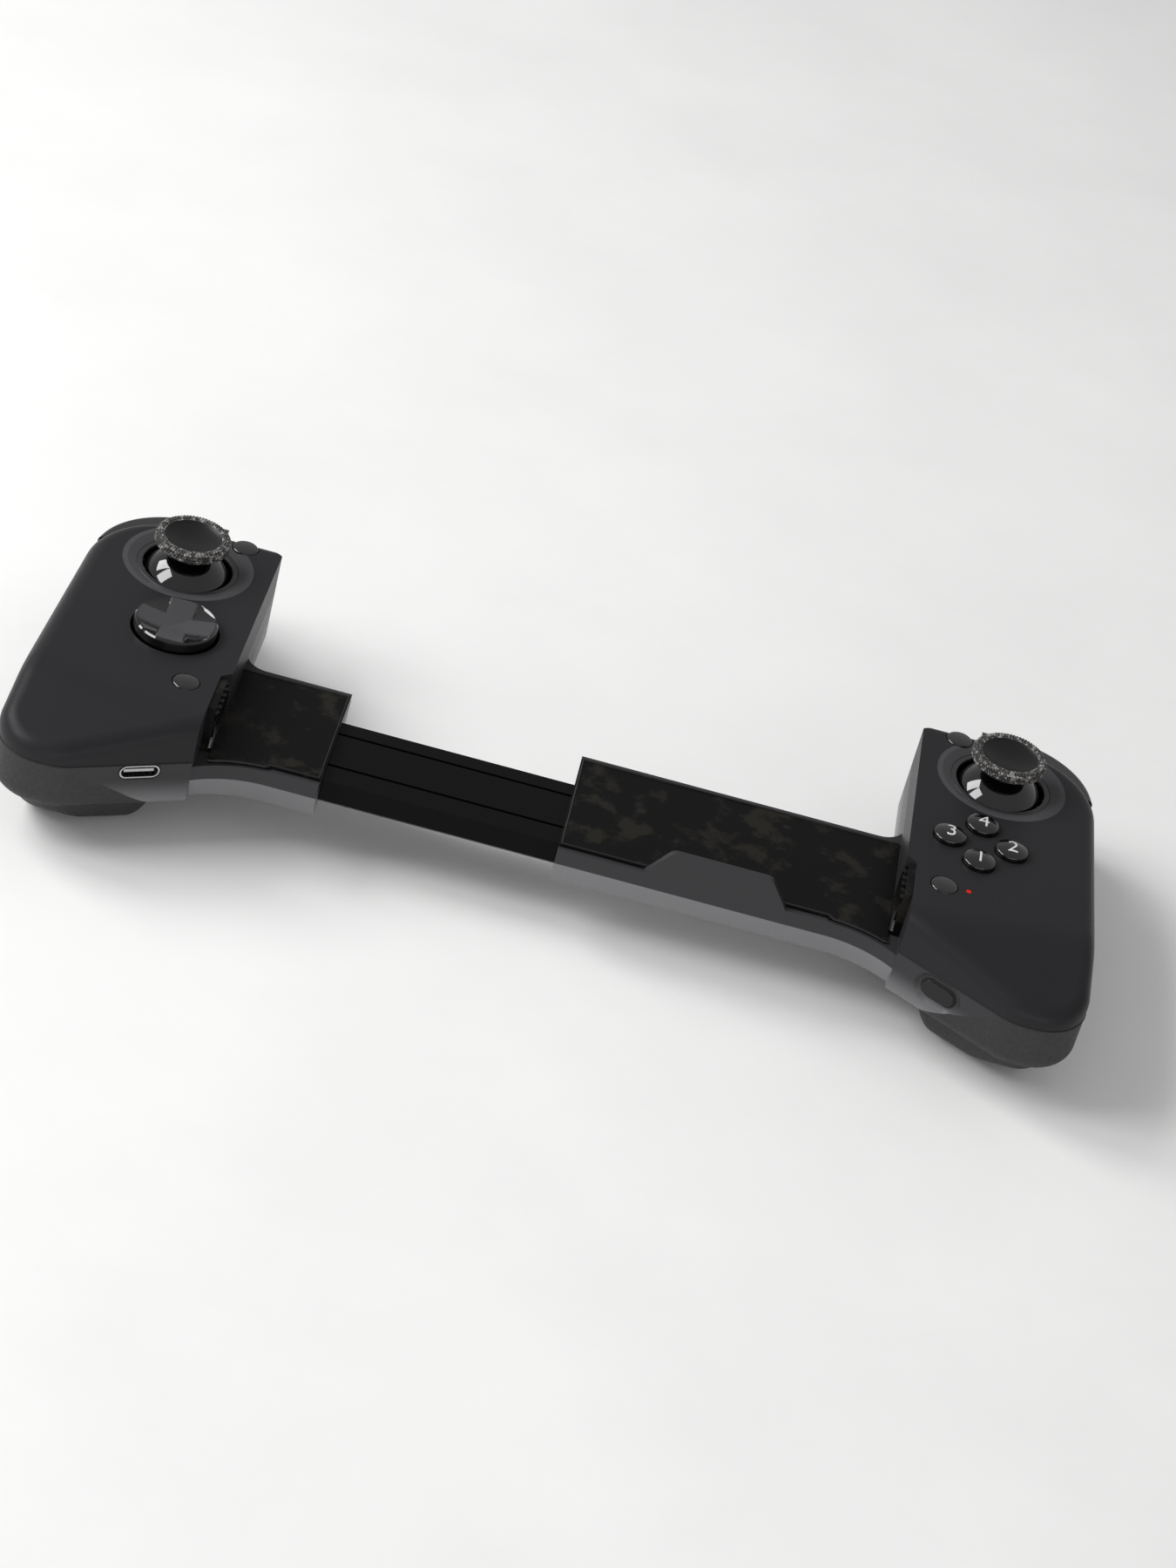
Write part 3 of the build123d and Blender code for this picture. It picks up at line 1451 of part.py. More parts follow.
# Right half
keep_right(front_shell(with_pad=False), "right_front_shell")
keep_right(back_shell(with_socket=False), "right_back_shell")
keep_right(wing(right_wing_length, rail_gap, with_lip=True), "right_wing")
keep_right(floor_pad(right_wing_length), "right_floor_pad")
keep_right(button_membrane(list(action_places().values()) + [lower_button]), "right_membrane")
keep_right(status_lights(), "status_lights")
keep_right(power_button(), "power_button")
for side, place in action_places().items():
    keep_right(action_button(place), f"action_button_{side}")

# Left half
keep_left(front_shell(with_pad=True), "left_front_shell")
keep_left(back_shell(with_socket=True), "left_back_shell")
keep_left(wing(left_wing_length, seat_fit, with_lip=False), "left_wing")
keep_left(floor_pad(left_wing_length), "left_floor_pad")
keep_left(button_membrane(list(action_places().values()) + [lower_button]), "left_membrane")
keep_left(pad_disc(), "direction_pad")
keep_left(pad_carrier(), "direction_pad_carrier")
keep_left(battery(), "battery")
keep_left(charging_socket(), "charging_socket")

# Bridge
keep(bridge_rail(), "bridge_rail")
keep(rail_springs(), "rail_springs")
keep(flat_cable(), "flat_cable")
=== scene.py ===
"""Mobile game controller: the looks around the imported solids.

Laid out as an add-on and run as a script. Lengths are metres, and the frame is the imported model's own.
"""
import math

import bmesh
import bpy
from mathutils import Matrix, Vector


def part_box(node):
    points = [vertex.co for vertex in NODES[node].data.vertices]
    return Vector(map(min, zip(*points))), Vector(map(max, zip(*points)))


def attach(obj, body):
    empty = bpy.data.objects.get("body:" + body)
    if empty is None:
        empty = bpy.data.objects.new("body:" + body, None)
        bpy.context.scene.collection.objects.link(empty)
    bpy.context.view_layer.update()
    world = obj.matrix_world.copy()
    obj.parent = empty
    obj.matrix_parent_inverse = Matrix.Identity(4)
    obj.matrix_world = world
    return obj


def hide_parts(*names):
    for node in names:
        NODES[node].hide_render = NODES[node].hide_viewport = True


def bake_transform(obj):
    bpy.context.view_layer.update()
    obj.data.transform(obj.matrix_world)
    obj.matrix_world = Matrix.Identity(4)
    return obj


bl_info = {
    "name": "Mobile game controller",
    "version": (1, 0, 0),
    "blender": (4, 5, 0),
    "location": "3D View > Sidebar > Controller",
    "description": "Dresses the packed mobile game controller with finishes and fine detail",
    "category": "Object",
}

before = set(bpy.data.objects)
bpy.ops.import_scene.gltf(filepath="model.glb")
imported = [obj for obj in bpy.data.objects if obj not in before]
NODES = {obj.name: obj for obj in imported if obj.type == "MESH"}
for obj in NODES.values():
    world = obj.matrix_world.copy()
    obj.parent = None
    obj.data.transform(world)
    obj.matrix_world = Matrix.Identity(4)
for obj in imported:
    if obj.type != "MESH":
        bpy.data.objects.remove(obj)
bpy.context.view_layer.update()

MM = 0.001
SIDES = {"right": 1, "left": -1}
ACTIONS = {"bottom": "1", "right": "2", "left": "3", "top": "4"}

# Grip outline at the seam, from the solids: corner and rounding in millimetres, clockwise from the top
GRIP_OUTLINE = (
    (77.4, 38.9, 0), (116.5, 38.9, 20), (119.5, -52.5, 11), (103.5, -52.5, 11), (77.7, -38.1, 0),
)
# Slanted front edge in millimetres: its ends, and where the fittings sit across and up
EDGE_START, EDGE_END = Vector(GRIP_OUTLINE[4][:2]), Vector(GRIP_OUTLINE[3][:2])
EDGE_RUN = (EDGE_END - EDGE_START).normalized()
FITTING_X = 87.7
POWER_LEVEL = 18.0
CHARGE_LEVEL = 20.13
SEAM_LEVEL = 22 * MM

# Studs on a thumb cap: rows up its side by share of the height, rows on its rim by share of the radius
SIDE_ROWS = ((0.22, 72), (0.5, 72), (0.78, 72))
RIM_ROWS = ((0.94, 68), (0.875, 64))

# Buttons: the flange's two faces over the button's foot, and how far an action button's flange stands out
FLANGE_LOW, FLANGE_HIGH = 4.9 * MM, 5.9 * MM
FLANGE_REACH = 0.75 * MM

# Points closer than this are one
MERGE = 1e-7


def linear(hex_colour):
    """Linear colour with alpha from an sRGB hex value."""
    values = []
    for start in (0, 2, 4):
        share = int(hex_colour[start:start + 2], 16) / 255
        values.append(share / 12.92 if share <= 0.04045 else ((share + 0.055) / 1.055) ** 2.4)
    return (*values, 1.0)


def tone(name, hex_colour, description):
    """Colour property with an sRGB hex default."""
    return bpy.props.FloatVectorProperty(
        name=name, description=description, subtype="COLOR", size=4, min=0, max=1,
        default=linear(hex_colour),
    )


def length(name, millimetres, description):
    """Length property with a default in millimetres."""
    return bpy.props.FloatProperty(
        name=name, description=description, subtype="DISTANCE", unit="LENGTH", min=0,
        default=millimetres * MM, precision=5,
    )


class CONTROLLER_PG_colours(bpy.types.PropertyGroup):
    """Colours of the controller and its stage."""

    front: tone("Front shell", "272729", "Charcoal of the front mouldings")
    # Painted highlight: a lighter band that stands in for the light caught by the sloping dish round each
    # stick's hole
    painted_halo: tone("Stick halo", "4A4A4C", "Smoother band round the sticks' holes")
    back: tone("Back shell", "323234", "Dark grey of the back mouldings and the wings' upper bands")
    # Painted light: the lighter grey low down stands in for light from the pale floor below
    under: tone("Under side", "7C7C7E", "Lighter grey low on the back mouldings and the wings")
    cover: tone("Handle cover", "242425", "Rubber on the backs of the handles")
    pad: tone("Pads", "0E0E0E", "Silicone under the phone")
    pad_patch: tone("Pad patches", "24221E", "Faint patches in the pads")
    gloss: tone("Gloss controls", "050506", "Domes, round buttons, direction pad, triggers and paddles")
    satin: tone("Satin control", "1A1A1C", "Power button")
    cap: tone("Stick caps", "141414", "Rubber of the thumb caps")
    cap_rim: tone("Cap rims", "3A3938", "Roughened rubber of the caps' rims")
    cap_fleck: tone("Cap flecks", "9A9895", "Worn flecks on the caps' rims")
    # Painted reflection: this lighter grey on the direction pad's raised cross stands in for its glossy faces
    # catching the light
    cross_reflection: tone("Direction facets", "3C3C3F", "Raised cross of the direction pad")
    ink: tone("Printed marks", "DADAD8", "Numerals on the action buttons")
    lit: tone("Lit light", "D8281A", "Status light that is on")
    floor: tone("Floor", "F4F4F3", "Plain pale floor")


class CONTROLLER_PG_sizes(bpy.types.PropertyGroup):
    """Sizes of the fine detail."""

    cap_edge: length("Cap edge", 0.6, "Rounding of the thumb cap's edges")
    cap_dish: length("Cap dish", 1.3, "Depth of the thumb cap's dish")
    cap_stud: length("Cap stud", 0.36, "Radius of the grip studs on the cap's rim")
    button_edge: length("Button edge", 0.45, "Rounding of the buttons' edges")
    numeral: length("Numeral", 5.4, "Type size of the numerals on the action buttons")
    rib: length("Pad rib", 0.7, "Radius of the ribs on the end pads")
    pad_border: length("Pad border", 0.28, "Radius of the raised border of the floor pads")
    seam: length("Seam", 0.16, "Radius of the dark line between the shells")
    trigger_rib: length("Trigger rib", 0.28, "Radius of the ribs on the triggers")


def add(tree, kind, settings=None, inputs=None):
    """Adds a node, gives it its settings, and joins or fills its inputs."""
    made = tree.nodes.new(kind)
    for key, value in (settings or {}).items():
        setattr(made, key, value)
    for key, value in (inputs or {}).items():
        if isinstance(value, bpy.types.NodeSocket):
            tree.links.new(value, made.inputs[key])
        else:
            made.inputs[key].default_value = value
    return made


def surface(name, colour, roughness, grain, relief, metallic=0.0, coat=0.0, patch=None, patch_size=6.0,
            patch_share=0.5, spread=0.05, sheen=0.5):
    """Procedural finish: grain and patches are sizes in millimetres, relief is the grain's depth in
    millimetres, patch is a second colour where the broad noise passes patch_share, spread is how far the
    roughness wanders, and sheen is how much it reflects."""
    material = bpy.data.materials.new(name)
    material.use_nodes = True
    tree = material.node_tree
    tree.nodes.clear()
    place = add(tree, "ShaderNodeTexCoord").outputs["Object"]
    fine = add(tree, "ShaderNodeTexNoise", inputs={
        "Vector": place, "Scale": 1 / (grain * MM), "Detail": 3.0, "Roughness": 0.55,
    }).outputs["Fac"]
    broad = add(tree, "ShaderNodeTexNoise", inputs={
        "Vector": place, "Scale": 1 / (patch_size * MM), "Detail": 5.0, "Roughness": 0.62,
    }).outputs["Fac"]
    blur, lighter, smoothest = 0.04 if patch else 0.35, 1.12, 0.03
    edge = add(tree, "ShaderNodeMapRange", inputs={
        "Value": broad, "From Min": patch_share - blur, "From Max": patch_share + blur,
    }).outputs["Result"]
    other = tuple(patch) if patch else (*(value * lighter for value in colour[:3]), 1.0)
    base = add(tree, "ShaderNodeMix", {"data_type": "RGBA"}, {
        "Factor": edge, 6: tuple(colour), 7: other,
    }).outputs[2]
    rough = add(tree, "ShaderNodeMapRange", inputs={
        "Value": fine, "From Min": 0.3, "From Max": 0.7, "To Min": max(roughness - spread, smoothest),
        "To Max": roughness + spread,
    }).outputs["Result"]
    bump = add(tree, "ShaderNodeBump", inputs={
        "Height": fine, "Strength": 1.0, "Distance": relief * MM,
    }).outputs["Normal"]
    shader = add(tree, "ShaderNodeBsdfPrincipled", inputs={
        "Base Color": base, "Roughness": rough, "Normal": bump, "Metallic": metallic,
        "Specular IOR Level": sheen, "Coat Weight": coat, "Coat Roughness": 0.04,
    })
    add(tree, "ShaderNodeOutputMaterial", inputs={"Surface": shader.outputs["BSDF"]})
    return material


def repaint(tree, share, colour):
    """Blends a finish's base colour into another by a share."""
    shader = next(n for n in tree.nodes if n.type == "BSDF_PRINCIPLED")
    plain = shader.inputs["Base Color"].links[0].from_socket
    mixed = add(tree, "ShaderNodeMix", {"data_type": "RGBA"}, {"Factor": share, 6: plain, 7: tuple(colour)})
    tree.links.new(mixed.outputs[2], shader.inputs["Base Color"])


def satin_abs(colours):
    """ABS moulded in a spark-eroded tool: a soft, even sheen with a fine grain, drawn coarser to show. A band
    round each stick's hole is painted lighter, a painted highlight for the light that the sloping dish round
    the hole catches."""
    material = surface("satin_abs", colours.front, 0.4, 0.5, 0.012, patch_size=30, sheen=0.12)
    tree = material.node_tree
    centre, radius, _foot, _top = middle("right_stick_ring")
    place = add(tree, "ShaderNodeTexCoord").outputs["Object"]
    apart = add(tree, "ShaderNodeSeparateXYZ", inputs={"Vector": place})
    aside = add(tree, "ShaderNodeMath", {"operation": "ABSOLUTE"}, {0: apart.outputs["X"]}).outputs[0]
    flat = add(tree, "ShaderNodeCombineXYZ", inputs={"X": aside, "Y": apart.outputs["Y"]}).outputs["Vector"]
    distance = add(tree, "ShaderNodeVectorMath", {"operation": "DISTANCE"}, {
        0: flat, 1: (centre.x, centre.y, 0),
    }).outputs["Value"]
    # Painted highlight: the band round each stick's hole is blended towards the lighter halo colour
    band_end, blur = radius + 3.5 * MM, 0.3 * MM
    band = add(tree, "ShaderNodeMapRange", {"interpolation_type": "SMOOTHSTEP"}, {
        "Value": distance, "From Min": band_end, "From Max": band_end - blur,
    }).outputs["Result"]
    repaint(tree, band, colours.painted_halo)
    return material


def lit_from_below(name, colours, low, high):
    """ABS with a soft sheen, dark above a level and painted lighter below it, painted light from the pale
    floor below. The levels are in millimetres.
    """
    material = surface(name, colours.back, 0.36, 0.6, 0.01, patch_size=35, sheen=0.25)
    tree = material.node_tree
    place = add(tree, "ShaderNodeTexCoord").outputs["Object"]
    level = add(tree, "ShaderNodeSeparateXYZ", inputs={"Vector": place}).outputs["Z"]
    share = add(tree, "ShaderNodeMapRange", {"interpolation_type": "SMOOTHSTEP"}, {
        "Value": level, "From Min": low * MM, "From Max": high * MM, "To Min": 1.0, "To Max": 0.0,
    }).outputs["Result"]
    # Painted light from below: the lower faces are blended towards the under colour
    repaint(tree, share, colours.under)
    return material


def textured_abs(colours):
    """ABS of the wings: the lower, sloping band is painted lighter than the band under the rim, a painted
    reflection of the pale floor that it faces.
    """
    return lit_from_below("textured_abs", colours, 17.2, 17.4)


def shaded_abs(colours):
    """ABS of the back shells: dark under the seam and painted lighter towards the lower edge, painted light
    from the pale floor below.
    """
    return lit_from_below("shaded_abs", colours, 10.5, 18.5)


def grained_tpu(colours):
    """Overmoulded TPU: dull rubber with a leather-like grain that takes the light in small points."""
    return surface("grained_tpu", colours.cover, 0.6, 0.9, 0.14, patch_size=12, spread=0.08)


def mottled_silicone(colours):
    """Compression-moulded silicone: near black, with faint lighter patches."""
    return surface(
        "mottled_silicone", colours.pad, 0.34, 0.7, 0.012, patch=colours.pad_patch, patch_size=10.0,
        patch_share=0.56, spread=0.06, sheen=0.08,
    )


def glossy_silicone(colours):
    """Silicone moulded against a polished tool, on the end pads' ribs and the floor pads' borders."""
    return surface("glossy_silicone", colours.pad, 0.2, 1.5, 0.004, patch_size=10, spread=0.05)


def gloss_polycarbonate(colours):
    """Polished polycarbonate: deep black with sharp reflections and barely any relief."""
    return surface(
        "gloss_polycarbonate", colours.gloss, 0.06, 3.0, 0.001, coat=0.8, patch_size=40, spread=0.02,
    )


def satin_polycarbonate(colours):
    """Polycarbonate from an etched tool: dark, with a soft sheen."""
    return surface("satin_polycarbonate", colours.satin, 0.3, 0.8, 0.004, patch_size=20, sheen=0.3)


def cross_reflection_gloss(colours):
    """Polished polycarbonate painted dark grey on the direction pad's raised cross, a painted reflection on
    the cross's upward faces.
    """
    return surface("cross_reflection_gloss", colours.cross_reflection, 0.16, 3.0, 0.001, patch_size=40, spread=0.03)


def flecked_rubber(colours):
    """Roughened rubber of the thumb caps' rims: dull, with worn flecks where thumbs rub."""
    return surface(
        "flecked_rubber", colours.cap_rim, 0.62, 0.4, 0.08, patch=colours.cap_fleck, patch_size=1.1,
        patch_share=0.55, spread=0.1,
    )


def smooth_rubber(colours):
    """Moulded rubber in the cap's dish: even, with a soft sheen."""
    return surface("smooth_rubber", colours.cap, 0.38, 0.6, 0.006, patch_size=5, sheen=0.3)


def moulded_acetal(_colours):
    """Acetal inside the mechanism: waxy and plain."""
    return surface("moulded_acetal", linear("2A2A2C"), 0.4, 1.5, 0.004, patch_size=20)


def membrane_silicone(_colours):
    """Translucent grey silicone sheet under the buttons."""
    return surface("membrane_silicone", linear("5A5A5C"), 0.45, 1.0, 0.01, patch_size=15)


def solder_mask(_colours):
    """Glass-epoxy laminate under green solder mask: glossy lacquer over a faint weave."""
    return surface("solder_mask", linear("1E4630"), 0.3, 0.4, 0.01, coat=0.4, patch_size=4)


def spring_steel(_colours):
    """Drawn steel wire and turned pins: bright, with a fine drawn grain."""
    return surface("spring_steel", linear("B4B4B6"), 0.28, 0.3, 0.004, metallic=1.0, patch_size=10)


def black_anodised(_colours):
    """Polished and black-anodised aluminium of the rail: near black with long soft reflections."""
    return surface(
        "black_anodised", linear("0B0A0B"), 0.22, 2.5, 0.0008, patch_size=60, spread=0.02, sheen=0.08,
    )


def polyimide_film(_colours):
    """Amber polyimide of the flexible cable: smooth and glossy."""
    return surface("polyimide_film", linear("8A5A1E"), 0.25, 2.0, 0.002, patch_size=8)


def pouch_foil(_colours):
    """Laminated aluminium foil of the pouch cell: crinkled and bright."""
    return surface("pouch_foil", linear("B9B9BB"), 0.34, 4.0, 0.12, metallic=0.9, patch_size=20)


def seam_shadow(_colours):
    """Matte black of a moulding's narrow gap and gaskets."""
    return surface("seam_shadow", linear("0B0B0C"), 0.7, 1.0, 0.004, patch_size=20)


def pad_ink(colours):
    """Pad-printed ink: flat and pale."""
    return surface("pad_ink", colours.ink, 0.5, 0.8, 0.002, patch_size=6)


def light_pipe(colours):
    """Acrylic light pipes: the first glows, the others are dark red and clear."""
    low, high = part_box("status_lights")
    material = surface("light_pipe", linear("120707"), 0.15, 2.0, 0.001, patch_size=5)
    tree = material.node_tree
    place = add(tree, "ShaderNodeTexCoord").outputs["Object"]
    along = add(tree, "ShaderNodeSeparateXYZ", inputs={"Vector": place}).outputs["X"]
    pipes = 4
    first_end = low.x + (high.x - low.x) / pipes
    lit = add(tree, "ShaderNodeMath", {"operation": "LESS_THAN"}, {0: along, 1: first_end}).outputs[0]
    glow = add(tree, "ShaderNodeEmission", inputs={"Color": tuple(colours.lit), "Strength": 1.0})
    output = next(n for n in tree.nodes if n.type == "OUTPUT_MATERIAL")
    shader = next(n for n in tree.nodes if n.type == "BSDF_PRINCIPLED")
    mixed = add(tree, "ShaderNodeMixShader", inputs={
        "Fac": lit, 1: shader.outputs["BSDF"], 2: glow.outputs["Emission"],
    })
    tree.links.new(mixed.outputs["Shader"], output.inputs["Surface"])
    return material


FINISHES = {
    "front_shell": satin_abs, "back_shell": shaded_abs, "wing": textured_abs, "handle_cover": grained_tpu,
    "floor_pad": mottled_silicone, "end_pad": mottled_silicone, "stick_dome": gloss_polycarbonate,
    "upper_button": satin_polycarbonate, "lower_button": satin_polycarbonate, "bumper": gloss_polycarbonate,
    "trigger": gloss_polycarbonate, "paddle": gloss_polycarbonate, "stick_cap": smooth_rubber,
    "stick_ring": moulded_acetal, "stick_housing": moulded_acetal, "stick_yoke": moulded_acetal,
    "stick_rocker": moulded_acetal, "membrane": membrane_silicone, "circuit_board": solder_mask,
    "screws": spring_steel, "hinge_pins": spring_steel, "trigger_spring": spring_steel,
    "stick_shaft": spring_steel, "action_button": gloss_polycarbonate,
    "direction_pad_carrier": moulded_acetal, "direction_pad": gloss_polycarbonate,
    "power_button": satin_polycarbonate, "bridge_rail": black_anodised, "rail_springs": spring_steel,
    "charging_socket": spring_steel, "flat_cable": polyimide_film, "battery": pouch_foil,
    "status_lights": light_pipe, "seam": seam_shadow, "ink": pad_ink, "cap_rim": flecked_rubber,
    "cross": cross_reflection_gloss, "pad_rib": glossy_silicone,
}
made_finishes = {}


def finish(key):
    """Material of a kind of piece, made once."""
    maker = FINISHES[key]
    if maker not in made_finishes:
        made_finishes[maker] = maker(bpy.context.scene.controller_colours)
    return made_finishes[maker]


def kind_of(node):
    """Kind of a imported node: its name without its side or place."""
    for kind in sorted(FINISHES, key=len, reverse=True):
        if kind in node:
            return kind
    raise ValueError(f"no finish is listed for {node}")


def link(name, mesh, material, body, smooth=30):
    """Puts a finished mesh into the scene, smooth up to an angle, and lets it ride on its body, if one alone
    carries it."""
    mesh.materials.clear()
    mesh.materials.append(material)
    mesh.shade_smooth()
    mesh.set_sharp_from_angle(angle=math.radians(smooth))
    piece = bpy.data.objects.new(name, mesh)
    bpy.context.scene.collection.objects.link(piece)
    if body:
        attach(piece, body)
    return piece


def mesh_from(name, points, faces=(), edges=()):
    """Mesh from points, with its normals outwards where it has faces."""
    mesh = bpy.data.meshes.new(name)
    mesh.from_pydata([tuple(p) for p in points], list(edges), list(faces))
    if faces:
        shape = bmesh.new()
        shape.from_mesh(mesh)
        bmesh.ops.remove_doubles(shape, verts=shape.verts, dist=MERGE)
        bmesh.ops.recalc_face_normals(shape, faces=shape.faces)
        shape.to_mesh(mesh)
        shape.free()
    return mesh


def rounded(corners, closed=False, steps=6):
    """Outline whose corners are rounded by their own radius, as a list of flat points."""
    points = []
    for index, (x, y, radius) in enumerate(corners):
        corner = Vector((x, y))
        if not radius:
            points.append(corner)
            continue
        before = (Vector(corners[index - 1][:2]) - corner).normalized()
        after = (Vector(corners[(index + 1) % len(corners)][:2]) - corner).normalized()
        half = before.angle(after) / 2
        centre = corner + (before + after).normalized() * radius / math.sin(half)
        start = corner + before * radius / math.tan(half) - centre
        end = corner + after * radius / math.tan(half) - centre
        first = math.atan2(start.y, start.x)
        turn = (math.atan2(end.y, end.x) - first + math.pi) % math.tau - math.pi
        for step in range(steps + 1):
            angle = first + turn * step / steps
            points.append(centre + Vector((math.cos(angle), math.sin(angle))) * radius)
    return points + [points[0]] if closed else points


def lathe(name, profile, centre, segments=96):
    """Mesh turned about an upright axis through centre, from points of radius and height."""
    points, faces, rings = [], [], []
    for radius, height in profile:
        if radius < MERGE:
            rings.append([len(points)] * segments)
            points.append(Vector((centre.x, centre.y, height)))
            continue
        rings.append(list(range(len(points), len(points) + segments)))
        for index in range(segments):
            angle = math.tau * index / segments
            points.append(Vector((
                centre.x + radius * math.cos(angle), centre.y + radius * math.sin(angle), height,
            )))
    for low, high in zip(rings, rings[1:]):
        for index in range(segments):
            follower = (index + 1) % segments
            loop = [low[index], low[follower], high[follower], high[index]]
            face = [v for i, v in enumerate(loop) if v not in loop[:i]]
            if len(face) > 2:
                faces.append(face)
    return mesh_from(name, points, faces)


def bowl(radius, edge, depth, steps=8):
    """Profile points of a spherical dish or dome, from its edge to the axis. A negative depth rises."""
    ball = (radius ** 2 + depth ** 2) / (2 * abs(depth))
    points = []
    for step in range(steps + 1):
        r = radius * (1 - step / steps)
        drop = math.sqrt(ball ** 2 - r ** 2) - (ball - abs(depth))
        points.append((r, edge - math.copysign(drop, depth)))
    return points


def middle(node):
    """Centre, radius, foot and top of an upright round node."""
    low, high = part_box(node)
    return (low + high) / 2, (high.x - low.x) / 2, low.z, high.z


def detail_tree(name, inputs):
    """Empty geometry tree with its named inputs, and its input node."""
    tree = bpy.data.node_groups.new(name, "GeometryNodeTree")
    tree.interface.new_socket("Geometry", in_out="INPUT", socket_type="NodeSocketGeometry")
    for label, kind, value in inputs:
        socket = tree.interface.new_socket(label, in_out="INPUT", socket_type=kind)
        if value is not None:
            socket.default_value = value
    tree.interface.new_socket("Geometry", in_out="OUTPUT", socket_type="NodeSocketGeometry")
    return tree, tree.nodes.new("NodeGroupInput")


def close_tree(tree, geometry, material):
    """Realises the instances, sets the material and ends the tree."""
    real = add(tree, "GeometryNodeRealizeInstances", inputs={"Geometry": geometry})
    dressed = add(tree, "GeometryNodeSetMaterial", inputs={
        "Geometry": real.outputs["Geometry"], "Material": material,
    })
    add(tree, "NodeGroupOutput", inputs={"Geometry": dressed.outputs["Geometry"]})


def stud_tree():
    """Rounded studs on the points of a mesh."""
    tree, given = detail_tree("studs_on_points", [
        ("Radius", "NodeSocketFloat", 0.0003), ("Material", "NodeSocketMaterial", None),
    ])
    ball = add(tree, "GeometryNodeMeshIcoSphere", inputs={
        "Radius": given.outputs["Radius"], "Subdivisions": 2,
    })
    studs = add(tree, "GeometryNodeInstanceOnPoints", inputs={
        "Points": given.outputs["Geometry"], "Instance": ball.outputs["Mesh"],
    })
    close_tree(tree, studs.outputs["Instances"], given.outputs["Material"])
    return tree


def bead_tree():
    """Round bead along every run of edges of a mesh."""
    tree, given = detail_tree("bead_along_edges", [
        ("Radius", "NodeSocketFloat", 0.0002), ("Material", "NodeSocketMaterial", None),
    ])
    path = add(tree, "GeometryNodeMeshToCurve", inputs={"Mesh": given.outputs["Geometry"]})
    ring = add(tree, "GeometryNodeCurvePrimitiveCircle", inputs={
        "Resolution": 10, "Radius": given.outputs["Radius"],
    })
    tube = add(tree, "GeometryNodeCurveToMesh", inputs={
        "Curve": path.outputs["Curve"], "Profile Curve": ring.outputs["Curve"], "Fill Caps": True,
    })
    close_tree(tree, tube.outputs["Mesh"], given.outputs["Material"])
    return tree


def grown(name, base, tree, values):
    """Plain mesh that a geometry tree makes from a base mesh."""
    carrier = bpy.data.objects.new(name + "_base", base)
    bpy.context.scene.collection.objects.link(carrier)
    modifier = carrier.modifiers.new("detail", "NODES")
    modifier.node_group = tree
    for socket in tree.interface.items_tree:
        if socket.in_out == "INPUT" and socket.name in values:
            modifier[socket.identifier] = values[socket.name]
    evaluated = carrier.evaluated_get(bpy.context.evaluated_depsgraph_get())
    mesh = bpy.data.meshes.new_from_object(evaluated)
    mesh.name = name
    bpy.data.objects.remove(carrier)
    return mesh


def path_mesh(name, paths):
    """Mesh of edges along several open paths."""
    points, edges = [], []
    for path in paths:
        edges += [(len(points) + i, len(points) + i + 1) for i in range(len(path) - 1)]
        points += path
    return mesh_from(name, points, edges=edges)


def bead(name, paths, tree, radius, kind, body):
    """Puts a round bead along paths into the scene."""
    mesh = grown(name, path_mesh(name + "_paths", paths), tree, {"Radius": radius, "Material": finish(kind)})
    link(name, mesh, finish(kind), body)


def edge_point(along, out, level):
    """Point on the slanted front wall: millimetres along it from the recess, out of it, and its height."""
    flat = EDGE_START + EDGE_RUN * along + Vector((EDGE_RUN.y, -EDGE_RUN.x)) * out
    return Vector((flat.x * MM, flat.y * MM, level * MM))


def mirrored(point, side):
    """The same point on the given side."""
    return Vector((point.x * SIDES[side], point.y, point.z))


class CONTROLLER_OT_finishes(bpy.types.Operator):
    """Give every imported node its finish"""

    bl_idname = "controller.finishes"
    bl_label = "Finishes of the solids"

    def execute(self, context):
        for name, node in NODES.items():
            node.data.materials.clear()
            node.data.materials.append(finish(kind_of(name)))
        return {"FINISHED"}


